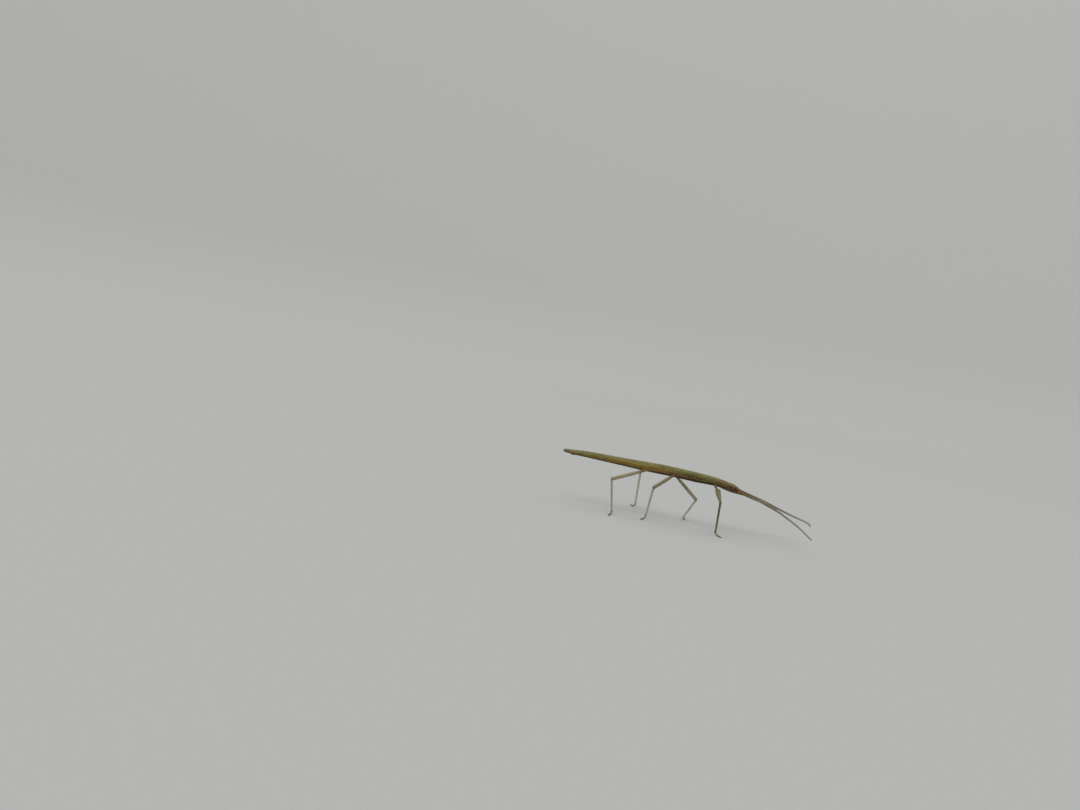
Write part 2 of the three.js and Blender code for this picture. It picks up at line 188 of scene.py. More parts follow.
# A front thigh, with the slim root that makes room for the head when both are held out: share
# of its length, scales of its width and its thickness, and how far it lies beside its line.
FORE_THIGH = (
    (0.0, 0.28, 0.5, 0.0),
    (0.008, 0.36, 0.66, 0.0),
    (0.03, 0.42, 0.75, -0.04),
    (0.06, 0.45, 0.8, -0.05),
    (0.074, 0.58, 0.85, 0.06),
    (0.087, 0.98, 0.9, 0.27),
    (0.13, 1.02, 1.0, 0.18),
    (0.2, 1.0, 1.0, 0.07),
    (0.3, 0.98, 1.0, -0.06),
    (0.4, 0.93, 1.0, -0.17),
    (0.5, 0.86, 0.98, -0.2),
    (0.6, 0.75, 0.95, -0.2),
    (0.75, 0.58, 0.9, -0.12),
    (0.9, 0.41, 0.8, -0.03),
    (0.945, 0.43, 0.8, 0.0),
    (0.975, 0.43, 0.78, 0.0),
    (0.992, 0.4, 0.7, 0.0),
    (1.0, 0.28, 0.4, 0.0),
)
COXA_SHAPE = ((0.0, 0.7), (0.12, 0.95), (0.4, 1.0), (0.62, 0.86), (0.7, 0.72), (0.76, 0.66))
COXA_SHAPE += ((0.8, 0.72), (0.9, 0.7), (0.97, 0.55), (1.0, 0.35))
THIGH_SHAPE = ((0.0, 0.5), (0.008, 0.66), (0.03, 0.7), (0.045, 0.64), (0.06, 0.7), (0.12, 0.82))
THIGH_SHAPE += ((0.3, 0.95), (0.6, 0.98), (0.85, 0.94), (0.93, 0.97), (0.97, 0.95))
THIGH_SHAPE += ((0.99, 0.8), (1.0, 0.5))
SHIN_SHAPE = ((0.0, 0.5), (0.008, 0.85), (0.02, 1.08), (0.045, 1.16), (0.07, 1.08))
SHIN_SHAPE += ((0.11, 0.98), (0.3, 0.93), (0.7, 0.92), (0.92, 0.94), (0.965, 1.04))
SHIN_SHAPE += ((0.985, 1.02), (0.996, 0.85), (1.0, 0.5))
# The shares of a foot's length that its five joints take up, and the outline of each: share of
# its length, scales of its width and its thickness, and how far it hangs.
FOOT_JOINTS = (0.34, 0.18, 0.14, 0.11, 0.23)
FOOT_SHAPE = (
    (0.03, 0.62, 0.66, 0.0),
    (0.14, 0.72, 0.74, 0.0),
    (0.5, 0.86, 0.82, 0.0),
    (0.78, 1.05, 0.96, -0.006),
    (0.9, 1.1, 0.94, -0.01),
    (0.975, 0.8, 0.7, -0.004),
)
# How much paler some thighs are, and the tints of some shins. This is painted light: the far legs lie
# in the trunk's shadow and are painted paler to make up for it.
FAR_THIGH_PAINTED_LIGHT = {"left_mid": 1.6, "left_hind": 1.25}
FAR_SHIN_PAINTED_LIGHT = {"left_mid": (1.22, 1.25, 1.3), "left_hind": (1.5, 1.6, 1.85)}
# The band on a thigh: its tint, its place and its share. The hind one is paler and mauver.
THIGH_BANDS = {"mid": ((1.0, 1.0, 1.0), 0.45, 0.55), "hind": ((1.35, 1.8, 2.2), 0.8, 0.6)}
COXA_REACH = 0.8  # from a leg's root to its hip joint
CLAW_LENGTH = 0.24  # the last stretch of a foot, which its claws take up
CLAW_REACH = 0.2
PAD_LENGTH = 0.15
CERCUS_LENGTH = 0.85
COAT_ROUGHNESS = 0.2
LEG_SPECKLE = (74, 56, 36)  # the screen colour of the dark specks
# The sides that shells are drawn with, before they are rounded off.
TRUNK_SIDES = 24
HEAD_SIDES = 32
LIMB_SIDES = 16
SLIM_SIDES = 12
FEELER_SIDES = 10
CLAW_SIDES = 8
# A place off to one side of every shell, whose elements are numbered by their distance from it.
ORDER_FROM = (3.17, 7.73, 11.39)
# The stretches of a limb's middle line that bristles follow, and the size of a bristle's patch.
STRETCHES = 23
PATCH = 0.0015


def srgb(red, green, blue):
    """The linear colour of three screen values from 0 to 255."""
    return tuple(((value / 255 + 0.055) / 1.055) ** 2.4 for value in (red, green, blue))


def darker(colour, share=1.0):
    """A colour with all of its parts scaled alike. A share over one makes it paler."""
    return tuple(value * share for value in tuple(colour)[:3])


def tinted(colour, shares):
    """A colour with each of its parts scaled by a share of its own."""
    return tuple(value * share for value, share in zip(colour, shares))


def paint(what, *screen_colour):
    """A colour that a user may change."""
    return bpy.props.FloatVectorProperty(
        name=what.removeprefix("the ").capitalize(),
        description=f"Colour of {what}",
        subtype="COLOR",
        size=3,
        min=0.0,
        max=1.0,
        default=srgb(*screen_colour),
    )


def measure(name, description, millimetres):
    """A length that a user may change."""
    return bpy.props.FloatProperty(
        name=name,
        description=description,
        default=millimetres * MM,
        min=0.0,
        precision=6,
        subtype="DISTANCE",
        unit="LENGTH",
    )


def tally(name, description, default, least=0):
    """A count that a user may change."""
    return bpy.props.IntProperty(name=name, description=description, default=default, min=least)


def glow(name, description, default):
    """A strength of light that a user may change."""
    return bpy.props.FloatProperty(name=name, description=description, default=default, min=0.0)


def tilt(name, description, degrees):
    """An angle that a user may change."""
    return bpy.props.FloatProperty(
        name=name, description=description, default=math.radians(degrees), subtype="ANGLE"
    )


# ---------------------------------------------------------------- what a user would change


class TrunkSettings(bpy.types.PropertyGroup):
    """Sizes and colours of the trunk and the head."""

    granule_height: measure("Granule height", "How far the skin's fine grain stands up", 0.022)
    granule_size: measure("Granule size", "How wide the skin's grain is", 0.16)
    keel_height: measure("Keel height", "How far the line down the back stands up", 0.03)
    fold_depth: measure("Fold depth", "How deep the fold along each side is", 0.05)
    back: paint("the back", 126, 120, 74)
    midline: paint("the line down the back", 142, 136, 92)
    flank: paint("the abdomen's upper side", 140, 121, 60)
    side_line: paint("the line on the abdomen", 146, 116, 46)
    thorax_flank: paint("the thorax's side", 108, 92, 50)
    belly: paint("the underside", 70, 54, 26)
    tail: paint("the last rings", 146, 124, 84)
    hip_patch: paint("the patch over each hip", 116, 72, 58)
    speckle: paint("the fine dark specks", 56, 44, 28)
    head_top: paint("the top of the head", 122, 113, 80)
    cheek: paint("the sides of the head", 104, 80, 44)


class EyeSettings(bpy.types.PropertyGroup):
    """Size and colours of the eyes."""

    radius: measure("Eye radius", "Radius of each compound eye", 0.31)
    centre: paint("the middle of the eye", 126, 98, 56)
    rim: paint("the edge of the eye", 48, 34, 20)


class FeelerSettings(bpy.types.PropertyGroup):
    """Sizes and colours of the feelers."""

    root_radius: measure("Root radius", "Half-thickness of the first ring", 0.27)
    tip_radius: measure("Tip radius", "Half-thickness of the last ring", 0.19)
    rings: tally("Rings", "Rings of each feeler beyond its second joint", 30, 8)
    root: paint("the first joints", 118, 91, 54)
    middle: paint("the middle of a feeler", 124, 117, 84)
    tip: paint("the end of a feeler", 160, 159, 155)


class LegSettings(bpy.types.PropertyGroup):
    """Sizes and colours of the legs."""

    coxa_radius: measure("Hip radius", "Half-thickness of the hip joint", 0.35)
    thigh_radius: measure("Thigh radius", "Half-thickness of a middle or hind thigh", 0.35)
    fore_width: measure("Front thigh width", "Half-width of a front thigh", 0.58)
    fore_thickness: measure("Front thigh thickness", "Half-thickness of a front thigh", 0.28)
    shin_radius: measure("Shin radius", "Half-thickness of a shin", 0.21)
    foot_radius: measure("Foot radius", "Half-width of a foot", 0.14)
    hip_fore: paint("the front hips", 100, 96, 56)
    hip_mid: paint("the middle hips", 94, 80, 50)
    # The hind hips' colour is partly their own and partly painted light, paler to make up for the
    # shade under the belly.
    hip_hind: paint("the hind hips", 126, 112, 66)
    thigh_fore: paint("the front thighs", 114, 107, 72)
    thigh_mid: paint("the middle thighs", 132, 127, 98)
    thigh_hind: paint("the hind thighs", 164, 153, 120)
    thigh_band: paint("the band on a thigh", 142, 98, 76)
    shin_fore: paint("the front shins", 130, 120, 82)
    shin_mid: paint("the middle shins", 177, 174, 160)
    shin_hind: paint("the hind shins", 156, 149, 124)
    foot: paint("the feet", 104, 74, 50)
    claw: paint("the claws", 46, 28, 18)


class BristleSettings(bpy.types.PropertyGroup):
    """Size, number and colour of the bristles."""

    length: measure("Bristle length", "Length of the bristles on the legs", 0.11)
    radius: measure("Bristle radius", "Half-thickness of a bristle at its root", 0.0075)
    per_leg: tally("Bristles on a leg", "Bristles on each leg", 420)
    per_feeler: tally("Bristles on a feeler", "Bristles on each feeler", 420)
    colour: paint("the bristles", 138, 118, 86)


class StageSettings(bpy.types.PropertyGroup):
    """The floor, the light and the camera."""

    floor: paint("the floor and the cove", 189, 190, 188)
    floor_radius: measure("Floor radius", "How far out the floor begins to rise", 450.0)
    ambient: glow("Ambient light", "Strength of the light from all round", 0.7)
    key: glow("Key light", "Strength of the main soft light", 0.8)
    fill: glow("Fill light", "Strength of the light from the far side", 0.35)
    softness: tilt("Softness", "How wide each light looks from the insect", 38.0)
    camera_place: bpy.props.FloatVectorProperty(
        name="Camera",
        description="Where the camera stands",
        default=(-0.01712, -0.17742, 0.0314),
        precision=5,
        subtype="TRANSLATION",
        unit="LENGTH",
    )
    azimuth: tilt("Azimuth", "How far the view turns to the left of +Y", 5.4)
    elevation: tilt("Elevation", "How far the view tilts down", 4.07)
    roll: tilt("Roll", "How far the camera leans to its left", 10.6)
    lens: bpy.props.FloatProperty(
        name="Lens",
        description="Focal length on a 36 mm sensor",
        default=28.0,
        min=1.0,
        unit="CAMERA",
    )


# ---------------------------------------------------------------- modelling by hand


def put_down():
    """Leave edit mode, with nothing selected."""
    if bpy.context.object and bpy.context.object.mode != "OBJECT":
        bpy.ops.object.mode_set(mode="OBJECT")
    bpy.ops.object.select_all(action="DESELECT")


def take_up(*pieces):
    """Select only these pieces, with the first one active."""
    put_down()
    for piece in pieces:
        piece.select_set(True)
    bpy.context.view_layer.objects.active = pieces[0]
    return pieces[0]


def fix_place(piece):
    """Put a piece's place, turn and scale into its mesh."""
    take_up(piece)
    bpy.ops.object.transform_apply(location=True, rotation=True, scale=True)
    return piece


def open_all():
    """Go into edit mode with all of the active piece selected."""
    bpy.ops.object.mode_set(mode="EDIT")
    bpy.ops.mesh.select_all(action="SELECT")


def put_in_order():
    """Number the open piece's elements by place, so that each run gives the same mesh.

    Extruding numbers them differently from run to run.
    """
    bpy.ops.mesh.select_all(action="SELECT")
    bpy.context.scene.cursor.location = ORDER_FROM
    bpy.ops.mesh.sort_elements(type="CURSOR_DISTANCE", elements={"VERT", "EDGE", "FACE"})
    bpy.context.scene.cursor.location = (0.0, 0.0, 0.0)


def close_up(inside=False):
    """Turn all faces outwards, or inwards, and leave edit mode."""
    bpy.ops.mesh.select_all(action="SELECT")
    bpy.ops.mesh.normals_make_consistent(inside=inside)
    bpy.ops.object.mode_set(mode="OBJECT")


def choose(piece, test):
    """Go into edit mode with only the vertices whose place passes the test selected."""
    take_up(piece)
    bpy.ops.object.mode_set(mode="EDIT")
    bpy.ops.mesh.select_mode(type="VERT")
    bpy.ops.mesh.select_all(action="DESELECT")
    bpy.ops.object.mode_set(mode="OBJECT")
    for vertex in piece.data.vertices:
        vertex.select = test(vertex.co)
    bpy.ops.object.mode_set(mode="EDIT")


def push(piece, place, move, reach):
    """Move the vertex nearest a place, and its neighbours within reach less and less."""
    target = Vector(place)
    nearest = min(piece.data.vertices, key=lambda vertex: (vertex.co - target).length_squared)
    held = nearest.co.copy()
    choose(piece, lambda co: (co - held).length_squared < 1e-9)
    bpy.ops.transform.translate(
        value=move,
        use_proportional_edit=True,
        proportional_edit_falloff="SMOOTH",
        proportional_size=reach,
        use_proportional_connected=True,
    )
    bpy.ops.object.mode_set(mode="OBJECT")


def swell(piece, test, height):
    """Raise the chosen vertices along their normals, or sink them."""
    choose(piece, test)
    bpy.ops.transform.shrink_fatten(value=height)
    bpy.ops.object.mode_set(mode="OBJECT")


def draw_shell(name, sides, rings):
    """Draw a closed shell through rings across X: (at, half-width, half-height, aside, lift)."""
    put_down()
    bpy.ops.mesh.primitive_circle_add(
        vertices=sides, radius=1.0, fill_type="NGON", rotation=(0.0, math.pi / 2, 0.0)
    )
    piece = fix_place(bpy.context.object)
    piece.name = piece.data.name = name
    open_all()
    start, wide, high, aside, lift = rings[0]
    bpy.ops.transform.resize(value=(1.0, wide, high), center_override=(0.0, 0.0, 0.0))
    bpy.ops.transform.translate(value=(start, aside, lift))
    for before, ring in zip(rings, rings[1:]):
        at, wide, high, aside, lift = ring
        step = (at - before[0], aside - before[3], lift - before[4])
        bpy.ops.mesh.extrude_region_move(TRANSFORM_OT_translate={"value": step})
        bpy.ops.transform.resize(
            value=(1.0, wide / before[1], high / before[2]), center_override=(at, aside, lift)
        )
    bpy.ops.mesh.merge(type="COLLAPSE")
    reach = abs(rings[1][0] - start) * 0.4
    choose(piece, lambda co: abs(co.x - start) < reach)
    bpy.ops.mesh.merge(type="COLLAPSE")
    put_in_order()
    close_up()
    return piece


def straight_rings(length, wide, high, profile, spacing):
    """Rings of a straight shell whose girth follows a profile.

    The profile has rows of (share of length, scale) or, where the shell is uneven, rows of
    (share of length, scale of the width, scale of the height, shift aside).
    """
    table = np.array([row if len(row) == 4 else (*row, row[1], 0.0) for row in profile])
    shares = table[:, 0]
    stops = []
    for start, end in zip(shares, shares[1:]):
        count = max(1, round((end - start) * length / spacing))
        stops += [start + (end - start) * step / count for step in range(count)]
    stops.append(shares[-1])
    rings = []
    for stop in stops:
        across, upward, aside = (float(np.interp(stop, shares, row)) for row in table.T[1:])
        rings.append((stop * length, wide * across, high * upward, wide * aside, 0.0))
    return rings


def joint_rings(start, length, radius, profile):
    """The rings of one round joint, at the shares of its length that the profile gives."""
    return [
        (start + share * length, radius * scale, radius * scale, 0.0, 0.0)
        for share, scale in profile
    ]


def modify(piece, kind, **settings):
    """Give a piece a modifier, set it up and apply it."""
    take_up(piece)
    modifier = piece.modifiers.new(kind.capitalize(), kind)
    for name, value in settings.items():
        setattr(modifier, name, value)
    bpy.ops.object.modifier_apply(modifier=modifier.name)


def round_off(piece, levels=2):
    """Smooth a piece with a subdivision surface."""
    modify(piece, "SUBSURF", levels=levels, render_levels=levels)


def granulate(piece, size, height):
    """Raise a fine grain all over a piece."""
    grain = bpy.data.textures.new("Grain", type="CLOUDS")
    grain.noise_scale = size
    modify(
        piece, "DISPLACE", texture=grain, texture_coords="LOCAL", mid_level=0.5, strength=height
    )
    bpy.data.textures.remove(grain)


def copy_of(piece, name, stretch=(1.0, 1.0, 1.0)):
    """Copy a piece with its own mesh, stretched about the origin."""
    take_up(piece)
    bpy.ops.object.duplicate(linked=False)
    copy = bpy.context.object
    copy.name = copy.data.name = name
    copy.scale = stretch
    fix_place(copy)
    if stretch[0] * stretch[1] * stretch[2] < 0:
        open_all()
        close_up()
    return copy


def join(name, pieces):
    joined = take_up(*pieces)
    bpy.ops.object.join()
    joined.name = joined.data.name = name
    return joined


def throw_away(*pieces):
    for piece in pieces:
        bpy.data.objects.remove(piece)


def stand_at(piece, start, ahead, upright=UP):
    """Put a straight piece at its start, pointing ahead, with its top towards upright."""
    along = Vector(ahead).normalized()
    across = Vector(upright).cross(along).normalized()
    turned = Matrix((along, across, along.cross(across))).transposed().to_4x4()
    piece.matrix_world = Matrix.Translation(start) @ turned
    return fix_place(piece)


def lay_along(piece, route):
    """Bend a straight piece along a route."""
    put_down()
    bpy.ops.curve.primitive_bezier_curve_add(location=(0.0, 0.0, 0.0))
    guide = bpy.context.object
    guide.data.dimensions = "3D"
    guide.data.twist_mode = "Z_UP"
    guide.data.resolution_u = 12
    points = guide.data.splines[0].bezier_points
    points.add(len(route) - 2)
    for point, place in zip(points, route):
        point.co = place
    bpy.ops.object.mode_set(mode="EDIT")
    bpy.ops.curve.select_all(action="SELECT")
    bpy.ops.curve.handle_type_set(type="AUTOMATIC")
    modify(piece, "CURVE", object=guide, deform_axis="POS_X")
    throw_away(guide)


def places_of(piece):
    """The vertices' places as an array with one row each."""
    places = np.empty(len(piece.data.vertices) * 3, np.float32)
    piece.data.vertices.foreach_get("co", places)
    return places.reshape(-1, 3)


def note_number(piece, name, values):
    attribute = piece.data.attributes.new(name, "FLOAT", "POINT")
    attribute.data.foreach_set("value", np.asarray(values, np.float32))


def note_lie(piece, lie=None, length=None):
    """Keep the vertices' straight places in millimetres, for the finishes to follow."""
    straight = places_of(piece) if lie is None else lie
    attribute = piece.data.attributes.new("lie", "FLOAT_VECTOR", "POINT")
    attribute.data.foreach_set("vector", straight.ravel())
    if length:
        note_number(piece, "along", np.clip(straight[:, 0] / length, 0.0, 1.0))


def note_level_lie(piece):
    """Keep the places of a part of the body, with heights from its centre line."""
    lie = places_of(piece)
    lie[:, 2] -= axis_height(lie[:, 0])
    note_lie(piece, lie)
    return lie


def near_joint(forward, joints, reach):
    """How close each place is to the nearest joint, from 1 at it to 0 beyond the reach."""
    gap = np.min(np.abs(forward[:, None] - np.asarray(joints)[None, :]), axis=1)
    return np.clip(1.0 - gap / reach, 0.0, 1.0)


def note_seams(piece, joints=(math.inf,), reach=1.0):
    """Note how near each vertex of a straight piece is to a joint, or that it has none."""
    note_number(piece, "seam", near_joint(places_of(piece)[:, 0], joints, reach))


def finish_piece(piece, material, nodes=()):
    piece.location = -MIDDLE * MM
    piece.scale = (MM, MM, MM)
    fix_place(piece)
    bpy.ops.object.shade_smooth()
    piece.data.materials.clear()
    piece.data.materials.append(material)
    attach(piece, "root")
    if nodes:
        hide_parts(*nodes)
    put_down()


# ---------------------------------------------------------------- routes


def axis_height(forward):
    """The height of the body's centre line, which falls gently and droops at the front."""
    bowed = np.maximum(0.0, forward - BOW_START) ** 2
    return AXIS_HEIGHT - FORWARD_FALL * forward - BOW * bowed


def on_body(forward, aside, above):
    """A place given by how far it is above the body's centre line."""
    return (forward, aside, float(axis_height(forward)) + above)


def girth_at(table, forward, reach=0.0):
    """Half-width, rise and drop at a place, evened out over a reach on each side."""
    spots = forward + reach * np.array((-1.0, -0.5, 0.0, 0.5, 1.0))
    return tuple(
        float(np.mean(np.interp(spots, table[:, 0], table[:, column]))) for column in (1, 2, 3)
    )


def ring_at(table, forward, share, reach=0.0, at=None):
    """One ring of the trunk or the head, at a share of its full girth."""
    wide, rise, drop = girth_at(table, forward, reach)
    place = forward if at is None else at
    lift = float(axis_height(place)) + (rise - drop) / 2 * share
    return (place, wide * share, (rise + drop) / 2 * share, 0.0, lift)


def smooth_route(points, steps):
    """Close points on a smooth curve through the given ones, eased like a bent wire."""
    places = [Vector(point) for point in points]
    places = [2 * places[0] - places[1], *places, 2 * places[-1] - places[-2]]
    route = []
    for before, start, end, after in zip(places, places[1:], places[2:], places[3:]):
        first, middle, last = (
            (b - a).length ** 0.5 for a, b in ((before, start), (start, end), (end, after))
        )
        leaving = (
            (start - before) / first - (end - before) / (first + middle) + (end - start) / middle
        ) * middle
        arriving = (
            (end - start) / middle - (after - start) / (middle + last) + (after - end) / last
        ) * middle
        for step in range(steps):
            t = step / steps
            route.append(
                (2 * t**3 - 3 * t**2 + 1) * start
                + (t**3 - 2 * t**2 + t) * leaving
                + (3 * t**2 - 2 * t**3) * end
                + (t**3 - t**2) * arriving
            )
    route.append(places[-2])
    return route


def arc_route(start, bend, end, steps=8):
    """Points on the arc that leaves start and reaches end with its tangents through bend."""
    return [
        (1 - t) ** 2 * start + 2 * t * (1 - t) * bend + t**2 * end
        for t in (step / steps for step in range(steps + 1))
    ]


def length_of(route):
    return sum((after - before).length for before, after in zip(route, route[1:]))


# ---------------------------------------------------------------- finishes


class Wire:
    """An output of a finish's node, which adds a node for each sum that it is used in."""

    def __init__(self, finish, socket):
        self.finish = finish
        self.socket = socket

    def __add__(self, other):
        return self.finish.maths("ADD", self, other)

    def __sub__(self, other):
        return self.finish.maths("SUBTRACT", self, other)

    def __mul__(self, other):
        return self.finish.maths("MULTIPLY", self, other)

    def between(self, low, high, start=0.0, end=1.0):
        """Ease from start to end as the value goes from low to high."""
        inputs = {"Value": self, "From Min": low, "From Max": high, "To Min": start, "To Max": end}
        return self.finish.add("ShaderNodeMapRange", inputs, interpolation_type="SMOOTHSTEP")

    def near(self, place, reach):
        """One at a place, falling to nothing at a reach on each side."""
        return self.finish.maths("ABSOLUTE", self - place).between(0.0, reach, 1.0, 0.0)

    def waver(self, noise, width):
        """Shift the value to and fro by a noise, over a width."""
        return self + self.finish.maths("MULTIPLY_ADD", noise, width, -width / 2)


class Finish:
    """A material being made: its nodes, and the colour that has been laid so far."""

    def __init__(self, name, specular, coat=0.0, lie=True):
        self.material = bpy.data.materials.new(name)
        self.material.use_nodes = True
        self.tree = self.material.node_tree
        self.shader = self.tree.nodes["Principled BSDF"]
        self.shader.inputs["Specular IOR Level"].default_value = specular
        self.shader.inputs["Coat Weight"].default_value = coat
        self.shader.inputs["Coat Roughness"].default_value = COAT_ROUGHNESS
        self.count = 0
        self.colour = None
        # Where the pattern is read: on the straight piece, or as the piece stands.
        if lie:
            self.place = self.attribute("lie", "Vector")
        else:
            self.place = self.add("ShaderNodeTexCoord", {}, "Object")

    def add(self, kind, inputs, output=0, **settings):
        """Add a node, set it up, feed it, and give back one of its outputs."""
        made = self.tree.nodes.new(kind)
        self.count += 1
        made.location = (-200 * (1 + self.count % 8), 300 - 220 * (self.count // 8))
        for name, value in settings.items():
            setattr(made, name, value)
        for name, value in inputs.items():
            socket = made.inputs[name]
            if isinstance(value, Wire):
                self.tree.links.new(value.socket, socket)
            elif socket.type == "RGBA":
                socket.default_value = (*darker(value), 1.0)
            else:
                socket.default_value = value
        return Wire(self, made.outputs[output])

    def maths(self, operation, *terms):
        return self.add("ShaderNodeMath", dict(enumerate(terms)), operation=operation)

    def attribute(self, name, output="Fac"):
        return self.add("ShaderNodeAttribute", {}, output, attribute_name=name)

    def parts(self):
        """How far forward, to the left and up a place is on the straight piece."""
        outputs = self.add("ShaderNodeSeparateXYZ", {0: self.place}).socket.node.outputs
        return [Wire(self, output) for output in outputs]

    def turn(self, across, above):
        """How far round the section a place is, from 0 below to 1 on top."""
        angle = self.maths("ARCTAN2", above, self.maths("ABSOLUTE", across))
        return self.maths("MULTIPLY_ADD", angle, 1 / math.pi, 0.5)

    def noise(self, scale, stretch=None, detail=3.0, roughness=0.55):
        """Noise of a scale, whose spots are drawn out along the smaller parts of the stretch."""
        place = self.place
        if stretch:
            place = self.add("ShaderNodeVectorMath", {0: place, 1: stretch}, operation="MULTIPLY")
        inputs = {"Vector": place, "Scale": scale, "Detail": detail, "Roughness": roughness}
        return self.add("ShaderNodeTexNoise", inputs, "Fac")

    def cells(self, scale):
        inputs = {"Vector": self.place, "Scale": scale}
        return self.add("ShaderNodeTexVoronoi", inputs, "Distance")

    def ramp(self, value, stops):
        """A colour for each value, from rows of (place, colour) or (place, colour, share)."""
        made = self.add("ShaderNodeValToRGB", {0: value})
        elements = made.socket.node.color_ramp.elements
        while len(elements) < len(stops):
            elements.new(1.0)
        for element, (place, *tone) in zip(elements, stops):
            element.position = place
            element.color = (*darker(*tone), 1.0)
        return made

    def mix(self, factor, first, second, blend="MIX"):
        inputs = {0: factor, 6: first, 7: second}
        return self.add("ShaderNodeMix", inputs, 2, data_type="RGBA", blend_type=blend)

    def lay(self, tone, factor):
        """Lay a colour over what is there, as far as the factor goes."""
        self.colour = self.mix(factor, self.colour, tone)

    def glaze(self, tone, factor=1.0):
        """Lay a clear colour over what is there, which darkens and tints it."""
        self.colour = self.mix(factor, self.colour, tone, "MULTIPLY")

    def shade(self, factor, darkest, palest):
        """Darken and lighten the colour as the factor goes from 0 to 1."""
        self.glaze(self.ramp(factor, ((0.25, (darkest,) * 3), (0.75, (palest,) * 3))))

    def bump(self, height, depth, below=None):
        inputs = {"Height": height, "Distance": depth * MM, "Strength": 1.0}
        if below:
            inputs["Normal"] = below
        return self.add("ShaderNodeBump", inputs)

    def done(self, roughness, normal):
        wires = {"Base Color": self.colour, "Roughness": roughness, "Normal": normal}
        for name, wire in wires.items():
            self.tree.links.new(wire.socket, self.shader.inputs[name])
        return self.material


def skin_relief(finish, streaks):
    """Fine grain, streaks and pores, as a bump over the modelled surface."""
    grain = finish.bump(finish.cells(9.0), 0.02)
    lines = finish.bump(streaks, 0.03, grain)
    return finish.bump(finish.noise(22.0, detail=2.0), 0.008, lines)


def trunk_finish(tones):
    """Olive above, with an ochre side on the abdomen, a browner thorax and a dark underside."""
    finish = Finish("trunk_skin", specular=0.25)
    along, across, above = finish.parts()
    wander = finish.noise(1.0, (0.7, 1.6, 1.6))
    turn = finish.turn(across, above).waver(wander, 0.1)
    top = (
        (0.78, tones.back),
        (0.93, tones.back),
        (0.975, tones.midline),
        (1.0, tones.back, 0.8),
    )
    abdomen = (
        (0.0, tones.belly, 0.8),
        (0.24, tones.belly, 0.75),
        (0.31, tones.belly),
        (0.37, tones.side_line, 0.72),
        (0.42, tones.side_line),
        (0.5, tones.side_line, 0.72),
        (0.57, tones.flank),
        (0.68, tones.flank, 0.85),
        *top,
    )
    thorax = (
        (0.0, tones.belly, 0.8),
        (0.22, tones.belly, 0.6),
        (0.32, tones.belly, 0.85),
        (0.37, tones.thorax_flank, 0.8),
        (0.41, tones.thorax_flank, 1.3),
        (0.47, tones.thorax_flank, 0.85),
        (0.54, tones.thorax_flank, 0.8),
        (0.64, tones.thorax_flank),
        (0.7, tones.back, 0.85),
        *top,
    )
    finish.colour = finish.ramp(turn, abdomen)
    finish.lay(finish.ramp(turn, thorax), along.between(-2.0, 4.0))
    # The last rings are a paler tan above and dark below.
    tail = along.between(-17.0, -20.0, 0.0, 0.6)
    finish.lay(tones.tail, tail * turn.between(0.4, 0.55))
    finish.lay(darker(tones.belly, 0.8), tail * turn.between(0.42, 0.34, 0.0, 0.9))
    finish.glaze(srgb(232, 250, 244), along.between(-11.0, -17.0, 0.0, 0.7))
    # Greener and browner stretches, streaks of two widths, and dark and pale flecks.
    patches = finish.noise(1.0, (0.35, 0.9, 0.9), 4.0)
    finish.glaze(srgb(214, 255, 196), patches.between(0.5, 0.72, 0.0, 0.6))
    finish.glaze(srgb(255, 222, 190), patches.between(0.5, 0.3, 0.0, 0.6))
    finish.shade(finish.noise(1.0, (0.35, 3.4, 3.4), 2.0), 0.72, 1.26)
    streaks = finish.noise(1.0, (1.1, 11.0, 11.0), 4.0, 0.65)
    finish.shade(streaks, 0.72, 1.26)
    flecks = finish.noise(1.5, (1.0, 2.6, 2.6), 5.0, 0.75)
    rare = along.between(-4.0, 6.0, 0.57, 0.51)
    finish.lay(tones.speckle, flecks.between(rare, 0.68, 0.0, 0.75))
    finish.lay(tones.midline, flecks.between(0.43, 0.34, 0.0, 0.4))
    finish.shade(finish.noise(1.0, (1.0, 3.0, 3.0)), 0.78, 1.22)
    finish.lay(tones.midline, along.near(8.2, 2.2) * turn.between(0.42, 0.55, 0.0, 0.28))
    for place, reach, level, band, share, tone in (
        (-0.5, 3.5, 0.72, 0.2, 0.35, srgb(96, 98, 48)),
        (0.8, 1.3, 0.45, 0.42, 0.35, srgb(62, 50, 26)),
        (10.2, 1.2, 0.43, 0.12, 0.35, tones.speckle),
        (10.5, 2.2, 0.76, 0.28, 0.5, srgb(114, 96, 68)),
        (11.8, 1.6, 0.6, 0.25, 0.5, darker(tones.thorax_flank, 1.9)),
        (11.4, 1.4, 0.7, 0.07, 0.35, tones.speckle),
        (-5.4, 1.6, 0.33, 0.2, 0.7, tones.side_line),
        (-0.1, 1.1, 0.4, 0.17, 0.95, tones.hip_patch),
        (9.6, 0.9, 0.4, 0.17, 0.3, tones.hip_patch),
    ):
        # A patch has its place and reach along the body, and its level and band round it.
        finish.lay(tone, along.near(place, reach) * share * turn.near(level, band))
    finish.lay(srgb(100, 103, 80), along.between(-21.6, -22.6, 0.0, 0.8))
    finish.lay(darker(tones.speckle, 0.8), finish.attribute("seam") * 0.45)
    # A painted highlight along the raised hind rim of each ring.
    finish.lay(tones.side_line, finish.attribute("rim") * 0.15)
    return finish.done(streaks.between(0.2, 0.8, 0.68, 0.5), skin_relief(finish, streaks))


